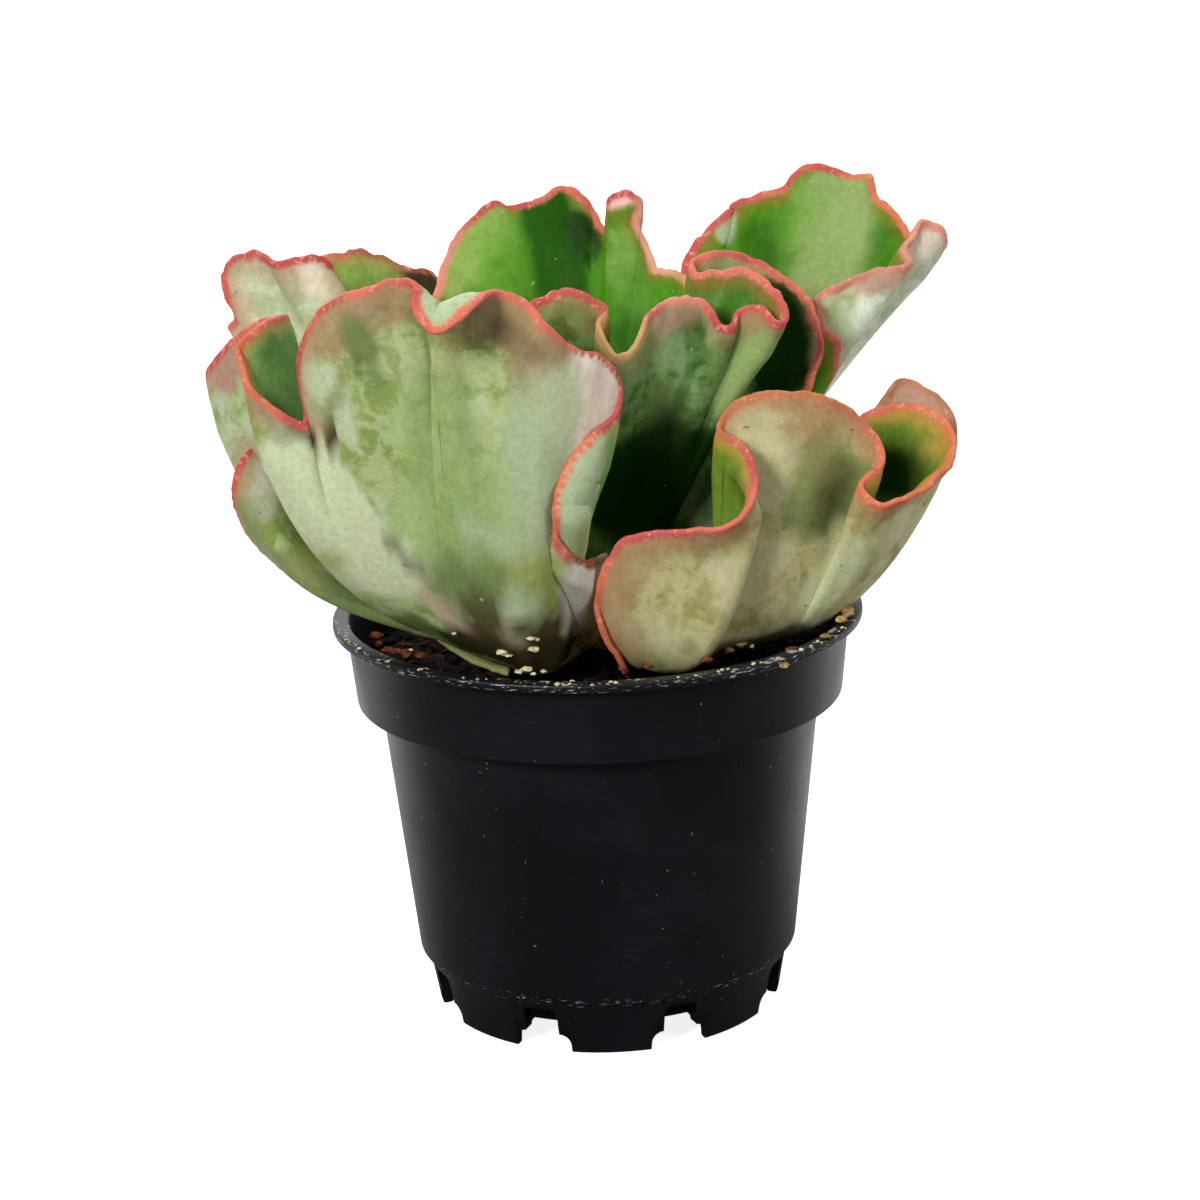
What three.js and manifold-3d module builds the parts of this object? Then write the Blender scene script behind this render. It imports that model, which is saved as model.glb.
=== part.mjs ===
// A ruffled echeveria (the coral reef kind) in a round nursery pot.
// Millimetres, +Z up. The origin is the centre of the pot's foot on the surface that it stands on,
// and the plant's front faces -Y.
import * as THREE from "three";
import { ConvexGeometry } from "three/addons/geometries/ConvexGeometry.js";
import Module from "manifold-3d";

const wasm = await Module();
wasm.setup();

// Driving dimensions of the pot
const POT_HEIGHT = 80;
const LIP_RADIUS = 52;
const LIP_THICKNESS = 1.7;
const BAND_RADIUS_TOP = 49.4;
const BAND_RADIUS_BOTTOM = 47.9;
const BAND_BOTTOM = 63.4;
const BODY_RADIUS_TOP = 43.4;
const BODY_RADIUS_BOTTOM = 37.9;
const STEP_HEIGHT = 11.6;
const FOOT_RADIUS_TOP = 36.4;
const FOOT_RADIUS = 34.4;
const WALL = 1.2;
const FLOOR_BOTTOM = 4.6;
const FLOOR_TOP = 5.9;
const POT_SEGMENTS = 40;

// Driving dimensions of the eight notches in the foot, which are also the drain openings
const NOTCH_COUNT = 8;
const NOTCH_WIDTH = 11.5;
const NOTCH_HEIGHT = 3.9;
const DRAIN_WIDTH = 7;
const DRAIN_TOP = 9.2;
const DRAIN_INNER_RADIUS = 27;

// Driving dimensions of the soil and the stem
const CLEARANCE = 0.3;
const SOIL_TOP = 72;
const SOIL_CROWN = 0.8;
const STEM_RADIUS = 5;
const STEM_BOTTOM = 55;
const STEM_TOP = 91;
const STEM_SEGMENTS = 16;

// Driving dimensions of a leaf blade
const BLADE_MARGIN = 1.8;
const BLADE_BASE = 4;
const YOUNG_BLADE_BASE = 2.6;
const BLADE_TAPER = 1.5;
const STEPS_PER_POINT = 2;
const LIP_STEPS = 2;
const LEAST_WEDGE = 1e-4;
const JOIN_TOLERANCE = 0.05;

const potPlastic = () => new THREE.MeshStandardMaterial({ color: 0x26272b, roughness: 0.42, metalness: 0 });
const peat = () => new THREE.MeshStandardMaterial({ color: 0x1f1812, roughness: 1, metalness: 0 });
const stemSkin = () => new THREE.MeshStandardMaterial({ color: 0x8a8f5a, roughness: 0.8, metalness: 0 });
const leafSkin = (color) => new THREE.MeshStandardMaterial({ color, roughness: 0.55, metalness: 0 });

// Solids and meshes

function solidFrom(positions, triangles) {
  const mesh = new wasm.Mesh({
    numProp: 3,
    vertProperties: new Float32Array(positions),
    triVerts: new Uint32Array(triangles),
  });
  mesh.merge();
  return new wasm.Manifold(mesh);
}

function solidFromGeometry(geometry, matrix) {
  const flat = geometry.index ? geometry.toNonIndexed() : geometry;
  if (matrix) flat.applyMatrix4(matrix);
  const spots = new Map();
  const positions = [];
  const corners = [];
  const source = flat.getAttribute("position");
  for (let i = 0; i < source.count; i += 1) {
    const spot = [source.getX(i), source.getY(i), source.getZ(i)];
    const key = spot.map((value) => Math.round(value * 1e4)).join(",");
    if (!spots.has(key)) {
      spots.set(key, spots.size);
      positions.push(...spot);
    }
    corners.push(spots.get(key));
  }
  const triangles = [];
  for (let i = 0; i < corners.length; i += 3) {
    const [a, b, c] = corners.slice(i, i + 3);
    if (a !== b && b !== c && c !== a) triangles.push(a, b, c);
  }
  return solidFrom(positions, triangles);
}

function meshFromSolid(name, solid, material) {
  const result = solid.getMesh();
  const geometry = new THREE.BufferGeometry();
  geometry.setAttribute("position", new THREE.BufferAttribute(new Float32Array(result.vertProperties), 3));
  geometry.setIndex(new THREE.BufferAttribute(new Uint32Array(result.triVerts), 1));
  geometry.computeVertexNormals();
  const mesh = new THREE.Mesh(geometry, material);
  mesh.name = name;
  return mesh;
}

// A profile of [radius, height] points turned about +Z. It runs counter-clockwise with the radius to the right.
function turned(profile, segments) {
  const points = profile.map(([radius, height]) => new THREE.Vector2(radius, height));
  const geometry = new THREE.LatheGeometry(points, segments);
  return solidFromGeometry(geometry, new THREE.Matrix4().makeRotationX(Math.PI / 2));
}

// Pot: a tapered body, a wider band under a rolled lip, and a recessed floor on a notched foot

const slopeRadius = (low, high, height) =>
  THREE.MathUtils.mapLinear(height, low[1], high[1], low[0], high[0]);
const bodyLow = [BODY_RADIUS_BOTTOM, STEP_HEIGHT];
const bodyHigh = [BODY_RADIUS_TOP, BAND_BOTTOM];
const bandLow = [BAND_RADIUS_BOTTOM, BAND_BOTTOM];
const bandHigh = [BAND_RADIUS_TOP, POT_HEIGHT - LIP_THICKNESS];
const ledgeTop = BAND_BOTTOM + WALL;

function potProfile() {
  const lipBottom = POT_HEIGHT - LIP_THICKNESS;
  return [
    [0, FLOOR_BOTTOM],
    [FOOT_RADIUS - 2 * WALL, FLOOR_BOTTOM],
    [FOOT_RADIUS - 1.7 * WALL, 0],
    [FOOT_RADIUS, 0],
    [FOOT_RADIUS_TOP, STEP_HEIGHT - 0.4],
    [BODY_RADIUS_BOTTOM, STEP_HEIGHT],
    [BODY_RADIUS_TOP, BAND_BOTTOM],
    [BAND_RADIUS_BOTTOM - 0.9, BAND_BOTTOM],
    [BAND_RADIUS_BOTTOM, BAND_BOTTOM + 0.8],
    [BAND_RADIUS_TOP, lipBottom],
    [LIP_RADIUS, lipBottom],
    [LIP_RADIUS, POT_HEIGHT - 0.6],
    [LIP_RADIUS - 0.6, POT_HEIGHT],
    [BAND_RADIUS_TOP, POT_HEIGHT],
    [BAND_RADIUS_TOP - WALL, lipBottom - 1],
    [slopeRadius(bandLow, bandHigh, ledgeTop) - WALL, ledgeTop],
    [slopeRadius(bodyLow, bodyHigh, ledgeTop) - WALL, ledgeTop],
    [BODY_RADIUS_BOTTOM - WALL, STEP_HEIGHT + 0.8],
    [FOOT_RADIUS_TOP - WALL, STEP_HEIGHT],
    [FOOT_RADIUS_TOP - 1.8 * WALL, FLOOR_TOP],
    [0, FLOOR_TOP],
  ];
}

// An arch with a flat bottom and rounded top corners, pushed out along the radius at one angle
function archCutter(width, bottom, top, inner, outer, angle) {
  const corner = Math.min(2, width / 4, (top - bottom) / 2);
  const half = width / 2;
  const arch = new THREE.Shape();
  arch.moveTo(-half, bottom);
  arch.lineTo(half, bottom);
  arch.lineTo(half, top - corner);
  arch.absarc(half - corner, top - corner, corner, 0, Math.PI / 2, false);
  arch.absarc(corner - half, top - corner, corner, Math.PI / 2, Math.PI, false);
  const geometry = new THREE.ExtrudeGeometry(arch, {
    depth: outer - inner,
    bevelEnabled: false,
    curveSegments: 2,
  });
  const place = new THREE.Matrix4()
    .makeRotationZ(angle + Math.PI / 2)
    .multiply(new THREE.Matrix4().makeRotationX(Math.PI / 2))
    .multiply(new THREE.Matrix4().makeTranslation(0, 0, inner));
  return solidFromGeometry(geometry, place);
}

function potMesh() {
  let pot = turned(potProfile(), POT_SEGMENTS);
  for (let i = 0; i < NOTCH_COUNT; i += 1) {
    const angle = ((i + 0.5) * 2 * Math.PI) / NOTCH_COUNT;
    const outer = FOOT_RADIUS + 5;
    pot = pot.subtract(archCutter(NOTCH_WIDTH, -1, NOTCH_HEIGHT, DRAIN_INNER_RADIUS, outer, angle));
    pot = pot.subtract(archCutter(DRAIN_WIDTH, 2, DRAIN_TOP, DRAIN_INNER_RADIUS, outer, angle));
  }
  return meshFromSolid("pot", pot, potPlastic());
}

// Soil: fills the pot to a few millimetres under the lip, with a plain hole for the stem

function soilMesh() {
  const gap = WALL + CLEARANCE;
  const bottom = FLOOR_TOP + CLEARANCE;
  const hole = STEM_RADIUS + CLEARANCE;
  const soilFoot = STEP_HEIGHT + 1.2;
  const profile = [
    [0, bottom],
    [FOOT_RADIUS_TOP - 1.8 * WALL - 2 * CLEARANCE, bottom],
    [FOOT_RADIUS_TOP - gap - 0.1, STEP_HEIGHT],
    [slopeRadius(bodyLow, bodyHigh, soilFoot) - gap, soilFoot],
    [slopeRadius(bodyLow, bodyHigh, ledgeTop + CLEARANCE) - gap, ledgeTop + CLEARANCE],
    [slopeRadius(bandLow, bandHigh, ledgeTop + CLEARANCE) - gap, ledgeTop + CLEARANCE],
    [slopeRadius(bandLow, bandHigh, SOIL_TOP - SOIL_CROWN) - gap, SOIL_TOP - SOIL_CROWN],
    [LIP_RADIUS * 0.6, SOIL_TOP],
    [hole, SOIL_TOP],
    [hole, STEM_BOTTOM - CLEARANCE],
    [0, STEM_BOTTOM - CLEARANCE],
  ];
  return meshFromSolid("soil", turned(profile, POT_SEGMENTS), peat());
}

// Stem: one plain rod under the rosette, rounded at both ends

function stemProfile(radius, bottom, top) {
  return [
    [0, bottom],
    [radius - 1, bottom],
    [radius, bottom + 1],
    [radius, top - 1.5],
    [radius - 1.5, top],
    [0, top],
  ];
}

function stemMesh() {
  return meshFromSolid("stem", turned(stemProfile(STEM_RADIUS, STEM_BOTTOM, STEM_TOP), STEM_SEGMENTS), stemSkin());
}

// Leaf margins. Each list runs round the free margin, counter-clockwise seen from above, from one end of the
// leaf's base to the other: [x, y, z, roll of the lip in degrees, lip width factor].

const frontLeftMargin = [
  // lower edge, from the soil out to the left
  [-17.5, -27, 74.6], [-25, -23, 77.3], [-31.5, -19.5, 80.3], [-39, -16.5, 82.5], [-48.5, -14, 86.5],
  [-60.5, -14, 94], [-66.5, -15, 102.5], [-67.5, -19, 111], [-65.5, -19, 116.5], [-62.5, -12, 119],
  // back layer of the folded left flap
  [-64, -6, 122.5], [-68, -8, 126.5], [-71.5, -14, 131.5], [-66, -20, 139], [-61, -25, 143],
  // front layer of the flap, down to its inner corner and up the fold
  [-55, -28, 145], [-58, -34, 145], [-62.5, -38, 142], [-62, -40, 137.5], [-59.5, -41, 133],
  [-55.5, -41, 129.5], [-51.5, -40, 127.5], [-51, -38, 129.5], [-52, -38, 136.5], [-50.5, -40, 143],
  // top, with a notch whose lip rolls outward
  [-46.5, -43, 149], [-39.5, -46, 152.5], [-33, -46, 154], [-30, -48, 153.5, 50], [-30.5, -52, 150.5, 110, 1.1],
  [-29, -55, 147.5, 140, 1.3], [-26, -56, 146, 150, 1.4], [-21.5, -55, 148, 140, 1.3],
  [-18.5, -51, 150.5, 110, 1.1], [-16, -46, 151, 40],
  // right shoulder
  [-11.5, -44, 149.5], [-7.5, -44, 145], [-3, -41, 140], [2.5, -36, 137], [5.5, -33, 131.5],
  // right side, where the lip rolls right over
  [5, -34, 126.5], [1, -38, 124, 20, 0.8], [-5, -41.5, 117.8, 75, 0.7], [-7.5, -43.5, 111.2, 80, 0.7],
  [-6.8, -43.5, 105.5, 30, 0.6], [-3.4, -39.7, 100.5, 3, 0.5], [-0.9, -35, 98.8, 0, 0.5],
  [1.8, -30, 98.6, 0, 0.5],
];

// The sixteen points that the front left leaf's blade hangs through, half-way out
const frontLeftBelly = [
  [-12, -16, 75.6], [-21, -20, 79.5], [-41, -20, 86], [-44, -15, 88], [-48, -11, 89], [-37.5, -20.5, 93],
  [-42, -28, 91.5], [-36, -31, 89.5], [-31, -33, 87.5], [-24, -35, 84.5], [-18, -36, 82], [-13, -36, 80],
  [-9, -32.8, 83.8], [-6.5, -29.7, 85.8], [-3.2, -26.8, 85.2], [0.4, -23.2, 84.6],
];

const frontRightMargin = [
  // left edge, from the soil up, and the low front saddle with a rolled lip
  [5, -28, 74.5], [4, -31, 78], [1.5, -33, 83], [0, -34, 90.5], [1, -35, 96], [5, -35, 102.5],
  [10.5, -35, 103.5, 20], [17.5, -36, 104, 40], [25, -37, 105, 60, 0.8], [29.5, -36, 110.5, 75, 0.8],
  [29.5, -33, 115, 70, 0.8], [27.5, -29, 118.5, 45, 0.8], [24, -25, 120.5, 10],
  // top of the front lobe
  [25.5, -23, 124], [30.5, -23, 126.5], [38, -23, 126.5], [45, -21, 124.5], [49.5, -19, 121], [53.5, -19, 116.5],
  // notch before the cup
  [54, -21, 112.5], [50, -24, 109], [53, -26, 105.5, 30],
  // cup at the right
  [57.5, -26, 106, 40], [63.5, -20, 107.5, 40], [69, -11, 111, 20], [69, -5, 114.5], [64.5, -1, 118],
  [58, 1, 118], [53, 3, 116], [53, 8, 113],
  // back flap and its lower edge
  [58, 11, 117.5], [61, 13, 120.5], [66, 12, 119], [70.5, 10, 115], [71.5, 8, 109], [65.5, 8, 99],
  [59, 5, 94], [55.5, 2, 89.5], [53.5, -2, 85.5], [50.5, -5, 82.5], [45, 2, 86], [36, 5, 83.5],
];

// The seven points that the front right leaf's blade hangs through, half-way out
const frontRightBelly = [
  [4, -19.5, 75.3], [12, -27, 75.4], [20, -22, 75.6], [28, -11, 75.8], [35, -4, 76], [34, 0, 77], [22, 2, 77.5],
];

const frontMiddleMargin = [
  // left side and the pointed left lobe
  [-9, -14, 101.5], [-12.5, -16, 117.5], [-14, -18, 133], [-11.5, -19, 142.5], [-6.5, -18, 145.5],
  [-2, -18, 146], [3.5, -17, 142],
  // small V and the front lobe
  [2, -19, 140], [3, -21, 137], [4.5, -22, 135], [7, -22, 135], [10, -20, 138.5], [12.5, -17, 142],
  [18, -15, 143.5], [22, -15, 142.5], [24.5, -18, 139], [26.5, -18, 138.5], [28, -17, 140.5],
  [31.5, -17, 141.5], [35, -19, 139.5],
  // fold back behind the front lobe
  [37, -16, 141.5], [34.5, -11, 144.5], [30, -8, 147], [22.5, -6, 146.5], [20, -3, 147],
  [23, 1, 149], [27.5, 3, 149], [33.5, 4, 146.5], [40, 4, 142],
  // right side
  [43, 2, 138.5], [44, -1, 134.5], [44.5, -3, 131], [42.5, -5, 124.5], [38, -6, 113.5], [30, -7, 98],
];

const backMiddleMargin = [
  // right side and the notch at the right of the top
  [9, 11, 102], [13, 15, 116], [24.5, 20, 130.5], [24, 23, 136], [20.5, 25, 139.5], [18, 26, 141.5],
  [14.5, 28, 142], [12.5, 30, 145.5], [11, 31, 148.5], [10, 32, 151.5],
  // small curl
  [11.5, 32, 154.5], [8.5, 32, 156.5], [5.5, 33, 155.5], [5.5, 34, 151.5], [4.5, 36, 148.5], [2, 39, 151.5],
  // broad top and left side
  [0, 40, 154.5], [-3, 41, 156.5], [-7, 41, 155.5], [-13.5, 40, 153.5], [-19, 39, 154], [-24, 37, 150],
  [-27.5, 34, 145.5], [-30, 30, 139.5], [-32, 24, 130], [-26, 15, 113], [-17, 9.5, 99],
];

const backRightMargin = [
  // right side and the front lobe
  [22, 3, 98], [35, 6, 113], [45.5, 9, 119.5], [48.5, 6, 126], [48.5, 5, 130], [46, 6, 133], [45, 8, 137],
  [47.5, 9, 140], [54.5, 10, 142.5], [61, 10, 144],
  // tight roll at the right end
  [63, 11, 145], [62, 13, 147], [64, 15, 148.5], [65, 17, 151], [67, 18, 151], [69.5, 19, 149.5],
  [71, 22, 146], [68.5, 27, 144], [65.5, 31, 146], [64, 33, 148],
  // broad top and left side
  [62, 35, 151], [59, 37, 153.5], [58, 39, 157], [53.5, 40, 158], [47, 41, 159.5], [43, 41, 158],
  [40.5, 40, 155], [35.5, 40, 154], [30, 39, 152.5], [29, 38, 151], [25, 37, 148], [21, 35, 143.5],
  [19.5, 34, 140], [19, 31, 127], [17, 25, 111], [13, 16, 97],
];

const backLeftMargin = [
  // right side and the long top
  [-13, 18, 95], [-19, 28, 110], [-25, 36, 127], [-30, 38, 139.5], [-36, 36, 142.5], [-42.5, 33, 145.5],
  [-47, 30, 147], [-53.5, 27, 146.5], [-61, 24, 143.5], [-67.5, 20, 139.5],
  // fold at the left end
  [-69.5, 14, 136.5], [-70, 10, 136], [-68.5, 8, 139.5], [-70, 7, 144], [-69.5, 8, 149], [-66, 9, 151],
  // front lobe and left side
  [-61.5, 8, 150.5], [-59, 6, 149.5], [-55, 7, 150], [-51, 9, 148.5], [-49, 10, 144.5], [-49.5, 9, 141],
  [-50, 5, 126], [-36, 1, 108], [-22, -1, 94],
];

// A plain spoon-shaped leaf that points along one angle, its margin waved in height
function ovalLeaf(name, shape) {
  const out = new THREE.Vector3(Math.cos(shape.angle), Math.sin(shape.angle), 0);
  const side = new THREE.Vector3(-out.y, out.x, 0);
  const margin = [];
  for (let i = 0; i < shape.points; i += 1) {
    const turn = ((2 * i) / (shape.points - 1) - 1) * Math.PI;
    const along = 0.5 + 0.5 * Math.cos(0.8 * turn);
    const across = shape.half * Math.sin(0.8 * turn) * (0.55 + 0.45 * along);
    const wave = shape.ruffle * Math.sin(shape.waves * turn + shape.phase) * along;
    const radius = THREE.MathUtils.lerp(shape.baseRadius, shape.reach, along) - 0.6 * wave;
    const cup = shape.cup * (across / shape.half) ** 2;
    const height = shape.baseHeight + 3 + (shape.rise - 3) * along ** 1.2 + cup + wave;
    margin.push([out.x * radius + side.x * across, out.y * radius + side.y * across, height]);
  }
  return {
    name,
    color: shape.color,
    root: [out.x * shape.baseRadius, out.y * shape.baseRadius, shape.baseHeight],
    across: [side.x * shape.baseHalf, side.y * shape.baseHalf, 0],
    belly: { out: 0.6, up: 0.3 },
    calm: 8,
    hold: 3.5,
    lip: 6,
    base: YOUNG_BLADE_BASE,
    rows: shape.rows,
    margin,
  };
}

const radians = THREE.MathUtils.degToRad;
const rearShape = { baseHalf: 2.2, waves: 3, ruffle: 3.5, points: 15, cup: 4, rows: 2, color: 0x6f8f4e };
const youngShape = { baseHalf: 2.2, waves: 2.1, ruffle: 1.2, points: 13, cup: 2, rows: 2, color: 0x6f9f46 };

const leaves = [
  {
    name: "leaf_front_left",
    color: 0xb2bd92,
    root: [-3.9, -4.3, 75.6],
    across: [2.3, -2.1, 0],
    belly: { through: frontLeftBelly },
    calm: 26,
    hold: 4.5,
    lip: 11,
    base: BLADE_BASE,
    rows: 3,
    margin: frontLeftMargin,
  },
  {
    name: "leaf_front_right",
    color: 0xb5ad85,
    root: [4.5, -3.8, 75],
    across: [1.9, 2.3, 0],
    belly: { through: frontRightBelly },
    calm: 26,
    hold: 4.5,
    lip: 10,
    base: BLADE_BASE,
    rows: 3,
    margin: frontRightMargin,
  },
  {
    name: "leaf_front_middle",
    color: 0x7f9a6b,
    root: [0.5, -5.8, 80.6],
    across: [3.2, 0.3, 0],
    belly: { out: 0.58, up: 0.42 },
    calm: 22,
    hold: 4.5,
    lip: 8,
    base: BLADE_BASE,
    rows: 3,
    margin: frontMiddleMargin,
  },
  {
    name: "leaf_back_middle",
    color: 0x5f9440,
    root: [-0.8, 5.8, 85],
    across: [-3, -0.4, 0],
    belly: { out: 0.58, up: 0.44 },
    calm: 20,
    hold: 4.5,
    lip: 8,
    base: BLADE_BASE,
    rows: 3,
    margin: backMiddleMargin,
  },
  {
    name: "leaf_back_right",
    color: 0x7fa35a,
    root: [5.5, 2, 80.5],
    across: [-1, 3, 0],
    belly: { out: 0.56, up: 0.44 },
    calm: 24,
    hold: 4.5,
    lip: 8,
    base: BLADE_BASE,
    rows: 3,
    margin: backRightMargin,
  },
  {
    name: "leaf_back_left",
    color: 0x9fae86,
    root: [-5.8, 1.2, 79.8],
    across: [-0.6, -2.7, 0],
    belly: { out: 0.6, up: 0.42 },
    calm: 22,
    hold: 4.5,
    lip: 8,
    base: BLADE_BASE,
    rows: 3,
    margin: backLeftMargin,
  },
  ovalLeaf("leaf_rear_right", {
    ...rearShape, angle: radians(40), baseRadius: 5.8, baseHeight: 75.2, reach: 62, half: 19, rise: 30, phase: 0.6,
  }),
  ovalLeaf("leaf_rear_left", {
    ...rearShape, angle: radians(112), baseRadius: 5.8, baseHeight: 75, reach: 59, half: 19, rise: 27, phase: 2,
  }),
  ovalLeaf("leaf_young_right", {
    ...youngShape, angle: radians(345), baseRadius: 5.6, baseHeight: 89, reach: 15, half: 7, rise: 26, phase: 0.3,
  }),
  ovalLeaf("leaf_young_back", {
    ...youngShape, angle: radians(75), baseRadius: 5.6, baseHeight: 91, reach: 14, half: 6.5, rise: 27, phase: 1.3,
  }),
  ovalLeaf("leaf_young_left", {
    ...youngShape, angle: radians(195), baseRadius: 5.6, baseHeight: 90, reach: 16, half: 7.5, rise: 26, phase: 2.3,
  }),
];

// Repeated 1-2-1 averaging of a list of vectors, with both ends held
function calmed(points, passes) {
  let current = points;
  for (let pass = 0; pass < passes; pass += 1) {
    const last = current;
    current = last.map((point, i) => {
      if (i === 0 || i === last.length - 1) return point;
      return point.map((value, k) => (last[i - 1][k] + 2 * value + last[i + 1][k]) / 4);
    });
  }
  return current;
}

const asVector = ([x, y, z]) => new THREE.Vector3(x, y, z);

// Points of a smooth curve through the list, an even number of steps between neighbours
function curvePoints(points, count) {
  const curve = new THREE.CatmullRomCurve3(points.map(asVector));
  return Array.from({ length: count }, (_, i) => curve.getPoint(i / (count - 1)));
}

// The same for a list of plain numbers
function curveValues(values, count) {
  return curvePoints(values.map((value, i) => [i, value, 0]), count).map((point) => point.y);
}

// The blade's middle surface as rows of points. Column i follows the margin, and row 0 is the base.
// Each column is a curve that leaves the base low, rises to the margin, and ends in a lip that may roll outward.
// A calmed copy of the margin carries the broad form, and the ruffle of the true margin dies away towards the base.
function bladeSurface(leaf) {
  const count = (leaf.margin.length - 1) * STEPS_PER_POINT + 1;
  const spots = leaf.margin.map((entry) => entry.slice(0, 3));
  const calmSpots = calmed(spots, leaf.calm);
  const root = asVector(leaf.root);
  const across = asVector(leaf.across);
  const basePoint = (u) => root.clone().addScaledVector(across, 2 * u - 1);

  const holds = spots.map((spot, i) => {
    const base = basePoint(i / (spots.length - 1));
    const calm = asVector(calmSpots[i]);
    const ratio = asVector(spot).distanceTo(calm) / Math.max(calm.distanceTo(base), 1e-6);
    return [leaf.hold - (leaf.hold - 1.5) * Math.min(1, ratio / 0.5)];
  });
  const margins = curvePoints(spots, count);
  const calms = curvePoints(calmSpots, count);
  const trends = curvePoints(calmed(spots, 7), count);
  const rolls = curveValues(leaf.margin.map((entry) => radians(entry[3] ?? 0)), count);
  const factors = curveValues(leaf.margin.map((entry) => entry[4] ?? 1), count);
  const powers = curveValues(calmed(holds, 4).map(([value]) => value), count);
  const bellies = leaf.belly.through ? curvePoints(leaf.belly.through, count) : null;

  return margins.map((margin, i) => {
    const base = basePoint(i / (count - 1));
    const calm = calms[i];
    const reach = calm.distanceTo(base);
    const lip = Math.min(leaf.lip * factors[i], 0.4 * reach);
    const towards = calm.clone().sub(base).normalize();
    let calmEnd = calm.clone().addScaledVector(towards, -lip);
    const belly = bellies ? bellies[i] : bellyPoint(leaf.belly, base, calmEnd, calm.z - base.z);

    let arc = bladeArc(base, belly, calmEnd);
    for (let pass = 0; pass < 3; pass += 1) {
      calmEnd = calm.clone().addScaledVector(arc.run.clone().normalize(), -lip);
      arc = bladeArc(base, belly, calmEnd);
    }

    const tangent = trends[Math.min(i + 1, count - 1)].clone().sub(trends[Math.max(i - 1, 0)]).normalize();
    const roll = Math.abs(rolls[i]) < 1e-3 ? 1e-3 : rolls[i];
    const square = Math.min(1, Math.abs(roll) / 1.4);
    let lipStart = margin.clone().addScaledVector(arc.run.clone().normalize(), -lip);
    const ahead = new THREE.Vector3();
    const outward = new THREE.Vector3();
    for (let pass = 0; pass < 5; pass += 1) {
      const ruffle = lipStart.clone().sub(calmEnd);
      ahead.copy(arc.run).addScaledVector(ruffle, powers[i] * 0.35).normalize();
      ahead.addScaledVector(tangent, -ahead.dot(tangent) * square).normalize();
      outward.crossVectors(tangent, ahead).normalize();
      lipStart = margin
        .clone()
        .addScaledVector(ahead, (-lip * Math.sin(roll)) / roll)
        .addScaledVector(outward, (-lip * (1 - Math.cos(roll))) / roll);
    }

    const ruffle = lipStart.clone().sub(calmEnd);
    const column = [];
    for (let k = 0; k <= leaf.rows; k += 1) {
      const t = k / leaf.rows;
      const point = new THREE.Vector3()
        .addScaledVector(base, (1 - t) ** 2)
        .addScaledVector(arc.middle, 2 * t * (1 - t))
        .addScaledVector(calmEnd, t * t);
      point.z = base.z + arc.climb * t ** arc.bend;
      column.push(point.addScaledVector(ruffle, t ** powers[i]));
    }
    for (let k = 1; k <= LIP_STEPS; k += 1) {
      const angle = (roll * k) / LIP_STEPS;
      column.push(
        lipStart
          .clone()
          .addScaledVector(ahead, (lip * Math.sin(angle)) / roll)
          .addScaledVector(outward, (lip * (1 - Math.cos(angle))) / roll),
      );
    }
    return column;
  });
}

// A column's half-way point: further out and lower than the straight line where the margin stands well above the base
function bellyPoint(belly, base, end, height) {
  const share = THREE.MathUtils.smoothstep(height, 0, 35);
  const out = 0.5 + (belly.out - 0.5) * share;
  const up = 0.5 + (belly.up - 0.5) * share;
  const step = end.clone().sub(base);
  return new THREE.Vector3(base.x + step.x * out, base.y + step.y * out, base.z + step.z * up);
}

// A column's curve from the base through the belly to the lip: the middle control point of its plan, the climb
// and how late it climbs, and the direction in which it arrives
function bladeArc(base, belly, end) {
  const middle = belly.clone().multiplyScalar(2).addScaledVector(base, -0.5).addScaledVector(end, -0.5);
  const rise = end.z - base.z;
  const climb = Math.abs(rise) < 1 ? 1 : rise;
  const share = THREE.MathUtils.clamp((belly.z - base.z) / climb, 0.02, 0.98);
  const bend = Math.log2(1 / share);
  const run = end.clone().sub(middle).multiplyScalar(2);
  run.z = bend * climb;
  return { middle, climb, bend, run };
}

// Difference of neighbouring grid points, one-sided at the ends
function slope(list, i) {
  const next = list[Math.min(i + 1, list.length - 1)];
  const last = list[Math.max(i - 1, 0)];
  return next.clone().sub(last);
}

// The blade's two faces: its middle surface moved out both ways, thick at the base and thin at the margin
function bladeFaces(leaf, grid) {
  const rows = grid[0].length;
  return grid.map((column, i) => {
    const runs = [0];
    for (let j = 1; j < rows; j += 1) runs.push(runs[j - 1] + column[j].distanceTo(column[j - 1]));
    return column.map((point, j) => {
      const along = slope(grid.map((other) => other[j]), i);
      const normal = along.cross(slope(column, j)).normalize();
      const share = 1 - runs[j] / runs[rows - 1];
      const half = (BLADE_MARGIN + (leaf.base - BLADE_MARGIN) * share ** BLADE_TAPER) / 2;
      return [point.clone().addScaledVector(normal, half), point.clone().addScaledVector(normal, -half)];
    });
  });
}

// The blade as one closed solid: every small triangle of the middle surface becomes a wedge between the two
// faces, and the wedges are joined, so that folds which meet grow together and nothing passes through itself
function bladeSolid(leaf) {
  const faces = bladeFaces(leaf, bladeSurface(leaf));
  const wedges = [];
  const addWedge = (...corners) => {
    const wedge = solidFromGeometry(new ConvexGeometry(corners.flat()));
    if (wedge.volume() > LEAST_WEDGE) wedges.push(wedge);
  };
  for (let i = 0; i < faces.length - 1; i += 1) {
    for (let j = 0; j < faces[0].length - 1; j += 1) {
      addWedge(faces[i][j], faces[i + 1][j], faces[i + 1][j + 1]);
      addWedge(faces[i][j], faces[i + 1][j + 1], faces[i][j + 1]);
    }
  }
  return wasm.Manifold.union(wedges);
}

// Every leaf is trimmed at its base to a seat around the stem
const stemSeat = turned(
  stemProfile(STEM_RADIUS + CLEARANCE, STEM_BOTTOM, STEM_TOP + CLEARANCE), STEM_SEGMENTS,
);

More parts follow.
